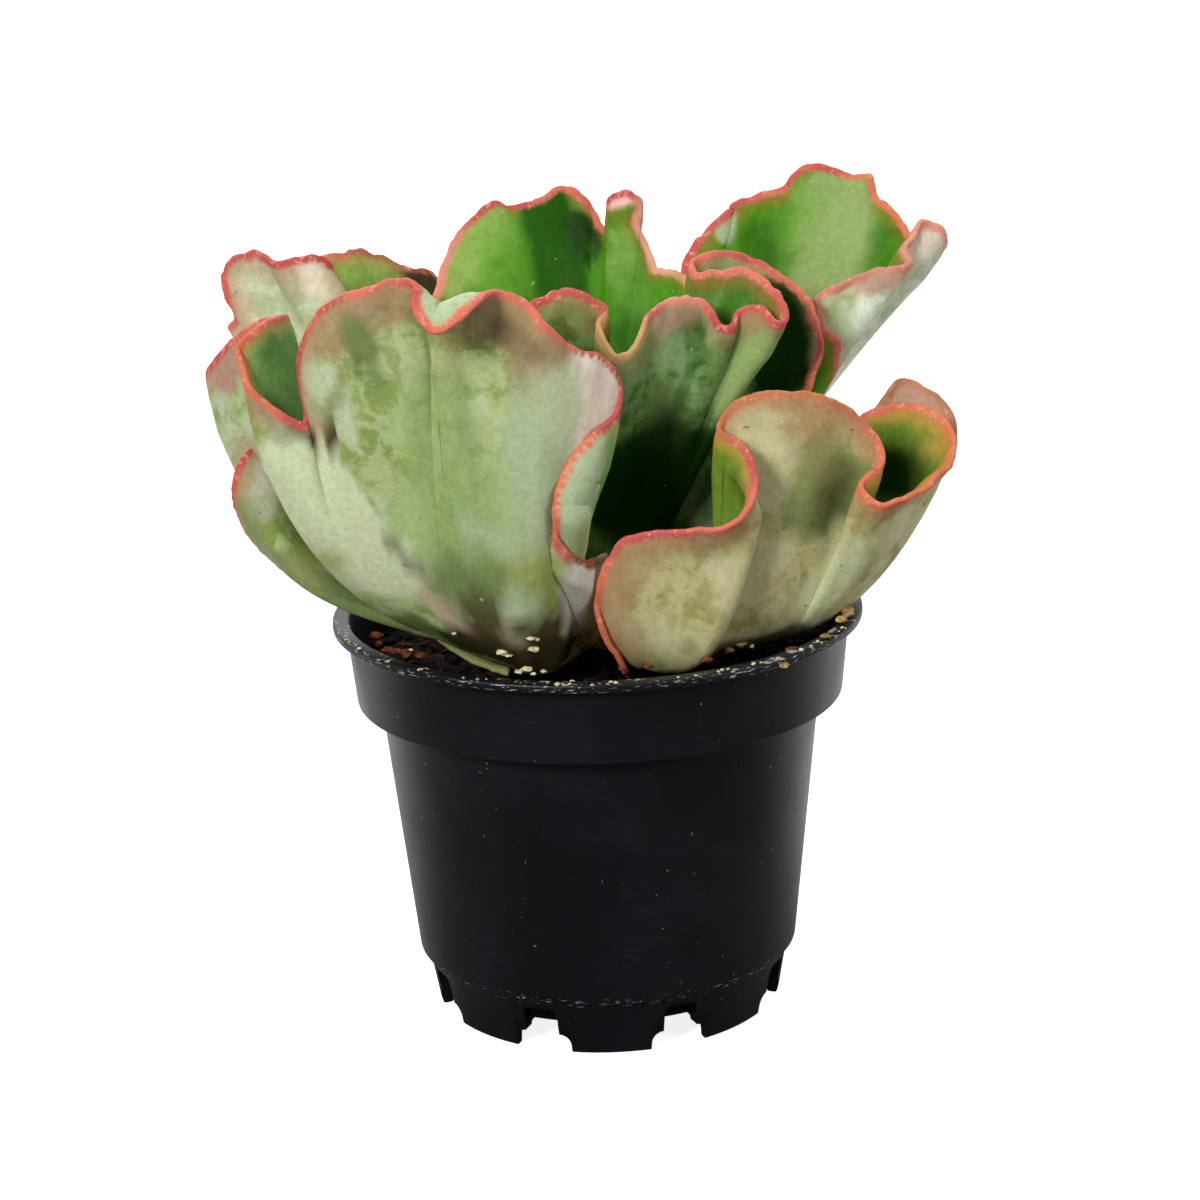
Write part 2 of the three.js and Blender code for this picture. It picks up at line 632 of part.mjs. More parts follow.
// The solid's outer skin, so that a small bubble closed in by a crease is filled
function withoutBubbles(solid) {
  const skins = solid.decompose();
  return skins.reduce((largest, skin) => (skin.volume() > largest.volume() ? skin : largest));
}

function leafMesh(leaf) {
  const joined = bladeSolid(leaf).subtract(stemSeat).asOriginal().simplify(JOIN_TOLERANCE);
  return meshFromSolid(leaf.name, withoutBubbles(joined), leafSkin(leaf.color));
}

const plant = new THREE.Group();
plant.add(stemMesh(), ...leaves.map(leafMesh));

const pottedPlant = new THREE.Group();
pottedPlant.add(potMesh(), soilMesh(), plant);

export default pottedPlant;
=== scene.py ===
"""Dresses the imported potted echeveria: fine leaves, pot, soil and grit, with the photo's light and view.

Shapes are worked out in millimetres, as in the CAD source, and written to meshes in metres.
"""
import math

import bpy
import numpy as np
from mathutils import Matrix, Vector, noise


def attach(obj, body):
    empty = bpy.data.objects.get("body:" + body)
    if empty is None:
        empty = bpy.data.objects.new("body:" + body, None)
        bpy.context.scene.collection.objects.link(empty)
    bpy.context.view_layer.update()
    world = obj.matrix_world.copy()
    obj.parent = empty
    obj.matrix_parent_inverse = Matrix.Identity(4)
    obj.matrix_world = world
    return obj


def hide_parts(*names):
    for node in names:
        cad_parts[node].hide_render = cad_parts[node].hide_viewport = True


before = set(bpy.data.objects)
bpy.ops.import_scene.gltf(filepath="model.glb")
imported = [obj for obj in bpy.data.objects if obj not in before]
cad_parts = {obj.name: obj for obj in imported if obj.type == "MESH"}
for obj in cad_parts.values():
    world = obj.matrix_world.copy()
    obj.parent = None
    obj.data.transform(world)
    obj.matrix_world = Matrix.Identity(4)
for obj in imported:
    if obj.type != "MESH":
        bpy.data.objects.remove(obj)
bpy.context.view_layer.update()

MM = 0.001

# Camera: the photograph's view, from a little above the lip
PHOTO_PIXELS = 1200
FOCAL_PIXELS = 3000
SENSOR_MM = 36
CAMERA_PLACE = (0.0, -567.1, 243.0)
CAMERA_YAW = 0.001
CAMERA_PITCH = 0.278
CAMERA_ROLL = -0.033

# Light. A lamp is [name, azimuth, elevation, distance, size, power]: azimuth 0 is the photograph's side,
# and it grows to the right. A glow is [axis, where it starts, where it is full, strength].
LIGHT_TARGET = (0, 0, 0.11)
LAMPS = [
    ("key_light", -33, 27, 1.2, 0.3, 13),
    ("top_light", 10, 70, 1.2, 0.6, 2.4),
    ("right_light", 62, 14, 1.2, 0.5, 5),
    ("back_light", 190, 40, 1.3, 0.7, 4.5),
]
ROOM_LEAST = 0.06
ROOM_GLOWS = [("Y", -0.2, 0.7, 1.1), ("Z", 0.2, 1.0, 0.3)]
FLOOR_REACH = 3000
FLOOR_DROP = 0.1
FLOOR_GLOW = 0.86
FLOOR_BOUNCE = "6c6c6c"
FLOOR_REAR_GLOW = ("Y", -0.03, 0.11, 0.95)
WHITE = (1, 1, 1, 1)

# Pot, as in the CAD source
POT_HEIGHT = 80
LIP_RADIUS = 52
LIP_THICKNESS = 1.7
BAND_RADIUS_TOP = 49.4
BAND_RADIUS_BOTTOM = 47.9
BAND_BOTTOM = 63.4
BODY_RADIUS_TOP = 43.4
BODY_RADIUS_BOTTOM = 37.9
STEP_HEIGHT = 11.6
FOOT_RADIUS_TOP = 36.4
FOOT_RADIUS = 34.4
WALL = 1.2
FLOOR_BOTTOM = 4.6
FLOOR_TOP = 5.9
NOTCH_COUNT = 8
NOTCH_WIDTH = 11.5
NOTCH_HEIGHT = 3.9
DRAIN_WIDTH = 7
DRAIN_TOP = 9.2
DRAIN_INNER_RADIUS = 27
ARCH_CORNER = 2.2
ARCH_STEPS = 6
CUTTER_OVERSHOOT = 5
LIP_BOTTOM = POT_HEIGHT - LIP_THICKNESS
POT_CORNER = 0.5
POT_SEGMENTS = 192

# Soil, with its grains and fibres
SOIL_TOP = 72
SOIL_ROUGHNESS = 1.1
MOUND_HEIGHT = 1.6
MOUND_RADIUS = 20
HEAP_HEIGHT = 4.5
HEAP_START = 31
HEAP_FULL = 43
CLEARANCE = 0.3
STEM_RADIUS = 5
SOIL_SEGMENTS = 260
SOIL_TOP_RINGS = 64
GRAIN_REACH = 46.5
GRAIN_FLATNESS = 0.7
FIBRE_COUNT = 190
FIBRE_INNER = 9
FIBRE_OUTER = 45
FIBRE_REACH = 46
FIBRE_STEPS = 7
GRIT_SEED = 5
LIP_PERLITE_COUNT = 34
LIP_GRIT_COUNT = 6

# Scattered grains: [count, smallest, largest]
DARK_CRUMBS = (1500, 0.7, 3.4)
BARK_CHIPS = (170, 0.8, 3.6)
PERLITE_GRAINS = (60, 0.5, 2.2)

# Leaf blades, as in the CAD source but finer
BLADE_MARGIN = 1.8
BLADE_BASE = 4
YOUNG_BLADE_BASE = 2.6
BLADE_TAPER = 1.5
STEPS_PER_POINT = 9
BLADE_ROWS = 26
LIP_ROWS = 8
ROUND_STEPS = 3
ROUND_DEPTH = 0.5
EDGE_THINNING = 0.6
EDGE_REACH = 2.6

# How far a blade's belly, lip and ruffle follow its margin
BELLY_RISE = 35
LEAST_HOLD = 1.5
LIP_SHARE = 0.4
SQUARE_ROLL = 1.4
RUFFLE_SHARE = 0.35

# Bumps of the margin, [length, height], and how far into the blade they fade
WAVES = [(4.2, 0.55), (2.3, 0.3)]
WAVE_REACH = 6
TEETH = [(2.6, 0.34), (1.1, 0.2)]
TEETH_REACH = 1.6
CALM_ENDS = 8

# Leaf margins: each list runs round the free margin, counter-clockwise seen from above, from one end of the
# leaf's base to the other: [x, y, z, roll of the lip in degrees, lip width factor].
FRONT_LEFT_MARGIN = [
    # lower edge, from the soil out to the left
    [-17.5, -27, 74.6], [-25, -23, 77.3], [-31.5, -19.5, 80.3], [-39, -16.5, 82.5], [-48.5, -14, 86.5],
    [-60.5, -14, 94], [-66.5, -15, 102.5], [-67.5, -19, 111], [-65.5, -19, 116.5], [-62.5, -12, 119],
    # back layer of the folded left flap
    [-64, -6, 122.5], [-68, -8, 126.5], [-71.5, -14, 131.5], [-66, -20, 139], [-61, -25, 143],
    # front layer of the flap, down to its inner corner and up the fold
    [-55, -28, 145], [-58, -34, 145], [-62.5, -38, 142], [-62, -40, 137.5], [-59.5, -41, 133],
    [-55.5, -41, 129.5], [-51.5, -40, 127.5], [-51, -38, 129.5], [-52, -38, 136.5], [-50.5, -40, 143],
    # top, with a notch whose lip rolls outward
    [-46.5, -43, 149], [-39.5, -46, 152.5], [-33, -46, 154], [-30, -48, 153.5, 50],
    [-30.5, -52, 150.5, 110, 1.1], [-29, -55, 147.5, 140, 1.3], [-26, -56, 146, 150, 1.4],
    [-21.5, -55, 148, 140, 1.3], [-18.5, -51, 150.5, 110, 1.1], [-16, -46, 151, 40],
    # right shoulder
    [-11.5, -44, 149.5], [-7.5, -44, 145], [-3, -41, 140], [2.5, -36, 137], [5.5, -33, 131.5],
    # right side, where the lip rolls right over
    [5, -34, 126.5], [1, -38, 124, 20, 0.8], [-5, -41.5, 117.8, 75, 0.7], [-7.5, -43.5, 111.2, 80, 0.7],
    [-6.8, -43.5, 105.5, 30, 0.6], [-3.4, -39.7, 100.5, 3, 0.5], [-0.9, -35, 98.8, 0, 0.5],
    [1.8, -30, 98.6, 0, 0.5],
]

FRONT_LEFT_BELLY = [
    [-12, -16, 75.6], [-21, -20, 79.5], [-41, -20, 86], [-44, -15, 88], [-48, -11, 89], [-37.5, -20.5, 93],
    [-42, -28, 91.5], [-36, -31, 89.5], [-31, -33, 87.5], [-24, -35, 84.5], [-18, -36, 82], [-13, -36, 80],
    [-9, -32.8, 83.8], [-6.5, -29.7, 85.8], [-3.2, -26.8, 85.2], [0.4, -23.2, 84.6],
]

FRONT_RIGHT_MARGIN = [
    # left edge, from the soil up, and the low front saddle with a rolled lip
    [5, -28, 74.5], [4, -31, 78], [1.5, -33, 83], [0, -34, 90.5], [1, -35, 96], [5, -35, 102.5],
    [10.5, -35, 103.5, 20], [17.5, -36, 104, 40], [25, -37, 105, 60, 0.8], [29.5, -36, 110.5, 75, 0.8],
    [29.5, -33, 115, 70, 0.8], [27.5, -29, 118.5, 45, 0.8], [24, -25, 120.5, 10],
    # top of the front lobe
    [25.5, -23, 124], [30.5, -23, 126.5], [38, -23, 126.5], [45, -21, 124.5], [49.5, -19, 121],
    [53.5, -19, 116.5],
    # notch before the cup
    [54, -21, 112.5], [50, -24, 109], [53, -26, 105.5, 30],
    # cup at the right
    [57.5, -26, 106, 40], [63.5, -20, 107.5, 40], [69, -11, 111, 20], [69, -5, 114.5], [64.5, -1, 118],
    [58, 1, 118], [53, 3, 116], [53, 8, 113],
    # back flap and its lower edge
    [58, 11, 117.5], [61, 13, 120.5], [66, 12, 119], [70.5, 10, 115], [71.5, 8, 109], [65.5, 8, 99],
    [59, 5, 94], [55.5, 2, 89.5], [53.5, -2, 85.5], [50.5, -5, 82.5], [45, 2, 86], [36, 5, 83.5],
]

FRONT_RIGHT_BELLY = [
    [4, -19.5, 75.3], [12, -27, 75.4], [20, -22, 75.6], [28, -11, 75.8], [35, -4, 76],
    [34, 0, 77], [22, 2, 77.5],
]

FRONT_MIDDLE_MARGIN = [
    # left side and the pointed left lobe
    [-9, -14, 101.5], [-12.5, -16, 117.5], [-14, -18, 133], [-11.5, -19, 142.5], [-6.5, -18, 145.5],
    [-2, -18, 146], [3.5, -17, 142],
    # small V and the front lobe
    [2, -19, 140], [3, -21, 137], [4.5, -22, 135], [7, -22, 135], [10, -20, 138.5], [12.5, -17, 142],
    [18, -15, 143.5], [22, -15, 142.5], [24.5, -18, 139], [26.5, -18, 138.5], [28, -17, 140.5],
    [31.5, -17, 141.5], [35, -19, 139.5],
    # fold back behind the front lobe
    [37, -16, 141.5], [34.5, -11, 144.5], [30, -8, 147], [22.5, -6, 146.5], [20, -3, 147],
    [23, 1, 149], [27.5, 3, 149], [33.5, 4, 146.5], [40, 4, 142],
    # right side
    [43, 2, 138.5], [44, -1, 134.5], [44.5, -3, 131], [42.5, -5, 124.5], [38, -6, 113.5], [30, -7, 98],
]

BACK_MIDDLE_MARGIN = [
    # right side and the notch at the right of the top
    [9, 11, 102], [13, 15, 116], [24.5, 20, 130.5], [24, 23, 136], [20.5, 25, 139.5], [18, 26, 141.5],
    [14.5, 28, 142], [12.5, 30, 145.5], [11, 31, 148.5], [10, 32, 151.5],
    # small curl
    [11.5, 32, 154.5], [8.5, 32, 156.5], [5.5, 33, 155.5], [5.5, 34, 151.5], [4.5, 36, 148.5],
    [2, 39, 151.5],
    # broad top and left side
    [0, 40, 154.5], [-3, 41, 156.5], [-7, 41, 155.5], [-13.5, 40, 153.5], [-19, 39, 154], [-24, 37, 150],
    [-27.5, 34, 145.5], [-30, 30, 139.5], [-32, 24, 130], [-26, 15, 113], [-17, 9.5, 99],
]

BACK_RIGHT_MARGIN = [
    # right side and the front lobe
    [22, 3, 98], [35, 6, 113], [45.5, 9, 119.5], [48.5, 6, 126], [48.5, 5, 130], [46, 6, 133], [45, 8, 137],
    [47.5, 9, 140], [54.5, 10, 142.5], [61, 10, 144],
    # tight roll at the right end
    [63, 11, 145], [62, 13, 147], [64, 15, 148.5], [65, 17, 151], [67, 18, 151], [69.5, 19, 149.5],
    [71, 22, 146], [68.5, 27, 144], [65.5, 31, 146], [64, 33, 148],
    # broad top and left side
    [62, 35, 151], [59, 37, 153.5], [58, 39, 157], [53.5, 40, 158], [47, 41, 159.5], [43, 41, 158],
    [40.5, 40, 155], [35.5, 40, 154], [30, 39, 152.5], [29, 38, 151], [25, 37, 148], [21, 35, 143.5],
    [19.5, 34, 140], [19, 31, 127], [17, 25, 111], [13, 16, 97],
]

BACK_LEFT_MARGIN = [
    # right side and the long top
    [-13, 18, 95], [-19, 28, 110], [-25, 36, 127], [-30, 38, 139.5], [-36, 36, 142.5], [-42.5, 33, 145.5],
    [-47, 30, 147], [-53.5, 27, 146.5], [-61, 24, 143.5], [-67.5, 20, 139.5],
    # fold at the left end
    [-69.5, 14, 136.5], [-70, 10, 136], [-68.5, 8, 139.5], [-70, 7, 144], [-69.5, 8, 149], [-66, 9, 151],
    # front lobe and left side
    [-61.5, 8, 150.5], [-59, 6, 149.5], [-55, 7, 150], [-51, 9, 148.5], [-49, 10, 144.5], [-49.5, 9, 141],
    [-50, 5, 126], [-36, 1, 108], [-22, -1, 94],
]


def unit(vectors):
    """The vectors brought to a length of one."""
    return vectors / np.maximum(np.linalg.norm(vectors, axis=-1, keepdims=True), 1e-9)


def smooth_step(values, low, high):
    """Rises smoothly from 0 to 1 while the values go from low to high."""
    share = np.clip((values - low) / (high - low), 0, 1)
    return share * share * (3 - 2 * share)


def curve(points, count):
    """Points of a centripetal Catmull-Rom curve, an even number of steps between neighbours."""
    points = np.asarray(points, float)
    last = len(points) - 1
    padded = np.vstack([2 * points[0] - points[1], points, 2 * points[-1] - points[-2]])
    place = np.linspace(0, last, count)
    index = np.minimum(place.astype(int), last - 1)
    share = (place - index)[:, None]
    p0, p1, p2, p3 = (padded[index + k] for k in range(4))
    d0, d1, d2 = (np.sqrt(np.linalg.norm(a - b, axis=1))[:, None] for a, b in ((p0, p1), (p1, p2), (p2, p3)))
    leave = ((p1 - p0) / d0 - (p2 - p0) / (d0 + d1) + (p2 - p1) / d1) * d1
    arrive = ((p2 - p1) / d1 - (p3 - p1) / (d1 + d2) + (p3 - p2) / d2) * d1
    square = -3 * p1 + 3 * p2 - 2 * leave - arrive
    cube = 2 * p1 - 2 * p2 + leave + arrive
    return p1 + leave * share + square * share**2 + cube * share**3


def curve_values(values, count):
    """The same for a list of plain numbers, as a column."""
    points = np.zeros((len(values), 3))
    points[:, 0] = np.arange(len(values))
    points[:, 1] = values
    return curve(points, count)[:, 1:2]


def calmed(points, passes):
    """Repeated 1-2-1 averaging with both ends held."""
    points = np.array(points, float)
    for _ in range(passes):
        inner = (points[:-2] + 2 * points[1:-1] + points[2:]) / 4
        points = np.concatenate([points[:1], inner, points[-1:]])
    return points


def arc_lengths(points, axis):
    """Length along one axis of a list or a grid of points, from the first point to each."""
    steps = np.linalg.norm(np.diff(points, axis=axis), axis=-1).cumsum(axis)
    zero = np.zeros_like(np.take(steps, [0], axis))
    return np.concatenate([zero, steps], axis)


def grid_normals(grid):
    """Directions that stand square on the grid at each of its points."""
    return unit(np.cross(np.gradient(grid, axis=0), np.gradient(grid, axis=1)))


class Arc:
    """A column's curve from the base through the belly to the lip."""

    def __init__(self, base, belly, end):
        self.middle = 2 * belly - (base + end) / 2
        rise = end[:, 2:3] - base[:, 2:3]
        self.climb = np.where(np.abs(rise) < 1, 1.0, rise)
        share = np.clip((belly[:, 2:3] - base[:, 2:3]) / self.climb, 0.02, 0.98)
        self.bend = np.log2(1 / share)
        self.run = 2 * (end - self.middle)
        self.run[:, 2:3] = self.bend * self.climb


def belly_points(leaf, base, end, height):
    """Half-way points, further out and lower where the margin stands well above the base."""
    share = smooth_step(height, 0, BELLY_RISE)
    out = 0.5 + (leaf["belly"][0] - 0.5) * share
    up = 0.5 + (leaf["belly"][1] - 0.5) * share
    return base + (end - base) * np.hstack([out, out, up])


def blade_surface(leaf, rng):
    """The blade's middle surface as a grid [column along the margin, row from the base to the margin]."""
    margin_list = leaf["margin"]
    count = (len(margin_list) - 1) * leaf["steps"] + 1
    spots = np.array([entry[:3] for entry in margin_list], float)
    calm_spots = calmed(spots, leaf["calm"])
    root = np.array(leaf["root"], float)
    across = np.array(leaf["across"], float)

    spot_base = root + across * np.linspace(-1, 1, len(spots))[:, None]
    calm_reach = np.linalg.norm(calm_spots - spot_base, axis=1)
    ratio = np.linalg.norm(spots - calm_spots, axis=1) / np.maximum(calm_reach, 1e-6)
    holds = leaf["hold"] - (leaf["hold"] - LEAST_HOLD) * np.minimum(1, 2 * ratio)

    margin = curve(spots, count)
    calm = curve(calm_spots, count)
    trend = curve(calmed(spots, 7), count)
    roll = np.radians(curve_values([entry[3] if len(entry) > 3 else 0 for entry in margin_list], count))
    roll = np.where(np.abs(roll) < 1e-3, 1e-3, roll)
    factors = curve_values([entry[4] if len(entry) > 4 else 1 for entry in margin_list], count)
    power = curve_values(calmed(holds[:, None], 4)[:, 0], count)

    base = root + across * np.linspace(-1, 1, count)[:, None]
    reach = np.linalg.norm(calm - base, axis=1, keepdims=True)
    lip = np.minimum(leaf["lip"] * factors, LIP_SHARE * reach)
    calm_end = calm - lip * unit(calm - base)
    if "through" in leaf:
        belly = curve(leaf["through"], count)
    else:
        belly = belly_points(leaf, base, calm_end, calm[:, 2:3] - base[:, 2:3])
    arc = Arc(base, belly, calm_end)
    for _ in range(3):
        calm_end = calm - lip * unit(arc.run)
        arc = Arc(base, belly, calm_end)

    tangent = unit(np.gradient(trend, axis=0))
    square = np.minimum(1, np.abs(roll) / SQUARE_ROLL)
    lip_start = margin - lip * unit(arc.run)
    for _ in range(5):
        ruffle = lip_start - calm_end
        ahead = unit(arc.run + power * ruffle * RUFFLE_SHARE)
        ahead = unit(ahead - tangent * (ahead * tangent).sum(1, keepdims=True) * square)
        outward = unit(np.cross(tangent, ahead))
        lip_start = margin - lip * np.sin(roll) / roll * ahead - lip * (1 - np.cos(roll)) / roll * outward

    ruffle = lip_start - calm_end
    rows = []
    for t in np.arange(BLADE_ROWS + 1) / BLADE_ROWS:
        row = (1 - t) ** 2 * base + 2 * t * (1 - t) * arc.middle + t * t * calm_end
        row[:, 2:3] = base[:, 2:3] + arc.climb * t**arc.bend
        rows.append(row + ruffle * t**power)
    for step in range(1, LIP_ROWS + 1):
        angle = roll * step / LIP_ROWS
        forward = lip * np.sin(angle) / roll * ahead
        rows.append(lip_start + forward + lip * (1 - np.cos(angle)) / roll * outward)
    return crinkled(np.stack(rows, 1), leaf, rng)


def wander(rng, lengths, wave):
    """A smooth random value from about -1 to 1 along a line, with bumps about one wave long."""
    knots = rng.uniform(-1, 1, int(lengths[-1] / wave) + 6)
    places = lengths / wave + 1
    index = places.astype(int)
    share = smooth_step(places - index, 0, 1)
    return knots[index] * (1 - share) + knots[index + 1] * share


def bumps(rng, lengths, sizes):
    """Bumps of several sizes [length, height] along a line, added up."""
    return sum(height * wander(rng, lengths, length) for length, height in sizes)


def crinkled(grid, leaf, rng):
    """Fine waves and teeth of the margin, which fade within a few millimetres of it and at its ends."""
    lengths = arc_lengths(grid[:, -1], 0)
    runs = arc_lengths(grid, 1)
    from_margin = (runs[:, -1:] - runs)[..., None]
    from_end = np.minimum(lengths, lengths[-1] - lengths)
    strength = leaf["crinkle"] * np.minimum(1, from_end / CALM_ENDS)
    wave = (bumps(rng, lengths, WAVES) * strength)[:, None, None]
    teeth = (bumps(rng, lengths, TEETH) * strength)[:, None]
    pull = unit(grid[:, -1] - grid[:, -2]) * (teeth - 0.6 * ROUND_DEPTH)
    waved = grid + grid_normals(grid) * np.exp(-from_margin / WAVE_REACH) * wave
    return waved + pull[:, None] * np.exp(-from_margin / TEETH_REACH)


def edge_distances(points, edge, block=2000):
    """Distance of each point to the nearest edge point, worked through in blocks."""
    parts = [points[start:start + block] for start in range(0, len(points), block)]
    return np.concatenate([np.linalg.norm(part[:, None] - edge[None], axis=2).min(1) for part in parts])


def boundary_ring(columns, rows):
    """Grid places round the blade's edge, starting along the base."""
    ring = [(i, 0) for i in range(columns)]
    ring += [(columns - 1, j) for j in range(1, rows)]
    ring += [(i, rows - 1) for i in range(columns - 2, -1, -1)]
    ring += [(0, j) for j in range(rows - 2, 0, -1)]
    return np.array(ring).T


def rim_outward(grid, normals, ring_i, ring_j):
    """Directions that point out of the blade all round its edge, and none along its base."""
    rim = grid[ring_i, ring_j]
    inside = grid[np.clip(ring_i, 1, grid.shape[0] - 2), np.clip(ring_j, 1, grid.shape[1] - 2)]
    along = np.roll(rim, -1, 0) - np.roll(rim, 1, 0)
    away = unit(np.cross(unit(along), normals[ring_i, ring_j]))
    flip = np.sign(((rim - inside) * away).sum(1, keepdims=True))
    return away * np.where(flip == 0, 1, flip) * (ring_j > 0)[:, None]


def blade_faces(columns, rows, ring):
    """Quads of the outer and the inner face, and of the strips that round the edge between them."""
    flat = columns * rows
    index = np.arange(flat).reshape(columns, rows)
    a, b = index[:-1, :-1].ravel(), index[1:, :-1].ravel()
    c, d = index[1:, 1:].ravel(), index[:-1, 1:].ravel()
    faces = [np.stack([a, b, c, d], 1), np.stack([a, d, c, b], 1) + flat]
    size = len(ring)
    between = [2 * flat + size * step + np.arange(size) for step in range(ROUND_STEPS)]
    loops = [ring, *between, ring + flat]
    for first, second in zip(loops[:-1], loops[1:]):
        faces.append(np.stack([first, second, np.roll(second, -1), np.roll(first, -1)], 1))
    return np.vstack(faces)


def blade_mesh(leaf):
    """Vertices, faces and the values that the leaf's material reads."""
    grid = blade_surface(leaf, np.random.default_rng(leaf["seed"]))
    columns, rows = grid.shape[:2]
    normals = grid_normals(grid)
    runs = arc_lengths(grid, 1)
    share = 1 - runs / np.maximum(runs[:, -1:], 1e-6)
    edge = np.vstack([grid[:, -1], grid[0, 2:], grid[-1, 2:]])[::2]
    edge_distance = edge_distances(grid.reshape(-1, 3), edge)
    thinned = EDGE_THINNING + (1 - EDGE_THINNING) * smooth_step(edge_distance, 0, EDGE_REACH)
    half = (BLADE_MARGIN + (leaf["base"] - BLADE_MARGIN) * share**BLADE_TAPER) / 2
    half = (half * thinned.reshape(columns, rows))[..., None]

    ring_i, ring_j = boundary_ring(columns, rows)
    ring = ring_i * rows + ring_j
    outward = rim_outward(grid, normals, ring_i, ring_j)
    parts = [(grid + normals * half).reshape(-1, 3), (grid - normals * half).reshape(-1, 3)]
    sides = [np.ones(columns * rows), -np.ones(columns * rows)]
    for angle in math.pi * np.arange(1, ROUND_STEPS + 1) / (ROUND_STEPS + 1):
        rim = grid + normals * half * math.cos(angle)
        parts.append(rim[ring_i, ring_j] + outward * ROUND_DEPTH * math.sin(angle))
        sides.append(np.full(len(ring), math.cos(angle)))

    def spread(values, rim_values):
        """Values of the middle surface for both faces, and those of its edge for the rounded edge."""
        return np.concatenate([values, values] + [rim_values] * ROUND_STEPS)

    across = np.repeat(arc_lengths(grid[:, -1], 0), rows)
    values = {
        "edge": spread(edge_distance, np.where(ring_j > 0, 0.0, edge_distance[ring])),
        "side": np.concatenate(sides),
        "across": spread(across, across[ring]),
        "along": spread(runs.ravel(), runs[ring_i, ring_j]),
    }
    return np.vstack(parts), blade_faces(columns, rows, ring), values


def new_object(name, points, faces, smooth=True):
    """A mesh object from points in millimetres."""
    mesh = bpy.data.meshes.new(name)
    points = np.asarray(points, float) * MM
    mesh.from_pydata(points.tolist(), [], [list(map(int, face)) for face in faces])
    mesh.update()
    if smooth:
        mesh.polygons.foreach_set("use_smooth", [True] * len(mesh.polygons))
    obj = bpy.data.objects.new(name, mesh)
    bpy.context.scene.collection.objects.link(obj)
    return obj


def store(obj, name, numbers):
    """A value or a colour at each point of the object, for its material to read."""
    numbers = np.asarray(numbers, np.float32)
    kind, field = ("FLOAT_COLOR", "color") if numbers.ndim == 2 else ("FLOAT", "value")
    obj.data.attributes.new(name, kind, "POINT").data.foreach_set(field, numbers.ravel())


# Leaves

def oval_leaf(name, angle, base_height, reach, half, rise, phase, kind):
    """A plain spoon-shaped leaf that points along one angle, its margin waved in height."""
    out = np.array([math.cos(angle), math.sin(angle), 0])
    across = np.array([-out[1], out[0], 0])
    turn = np.linspace(-1, 1, kind["points"]) * math.pi
    along = 0.5 + 0.5 * np.cos(0.8 * turn)
    spread = half * np.sin(0.8 * turn) * (0.55 + 0.45 * along)
    wave = kind["ruffle"] * np.sin(kind["waves"] * turn + phase) * along
    radius = kind["base_radius"] + (reach - kind["base_radius"]) * along - 0.6 * wave
    margin = out * radius[:, None] + across * spread[:, None]
    margin[:, 2] = base_height + 3 + (rise - 3) * along**1.2 + kind["cup"] * (spread / half) ** 2 + wave
    return {
        "name": name, "root": out * kind["base_radius"] + np.array([0, 0, base_height]),
        "across": across * 2.2, "belly": (0.6, 0.3), "calm": 8, "hold": 3.5, "lip": 6,
        "base": YOUNG_BLADE_BASE, "steps": kind["steps"], "margin": margin.tolist(),
        "seed": kind["seed"] + int(phase * 10), "look": kind["look"], "slot": kind["slot"],
        "crinkle": kind["crinkle"],
    }


REAR_KIND = {
    "base_radius": 5.8, "waves": 3, "ruffle": 3.5, "points": 15, "cup": 4, "steps": 16, "seed": 70,
    "look": "back", "slot": "leaf_back", "crinkle": 1.0,
}
YOUNG_KIND = {
    "base_radius": 5.6, "waves": 2.1, "ruffle": 1.2, "points": 13, "cup": 2, "steps": 8, "seed": 90,
    "look": "young", "slot": "leaf_young", "crinkle": 0.5,
}


def plain_leaf(name, root, across, belly, calm, lip, margin, seed, look, crinkle, through=None):
    """A leaf whose margin is listed, with a belly worked out from two shares or listed too."""
    leaf = {
        "name": name, "root": root, "across": across, "belly": belly, "calm": calm, "hold": 4.5, "lip": lip,
        "base": BLADE_BASE, "steps": STEPS_PER_POINT, "margin": margin, "seed": seed, "look": look,
        "slot": "leaf_front" if look.startswith("front") else "leaf_back", "crinkle": crinkle,
    }
    if through:
        leaf["through"] = through
    return leaf


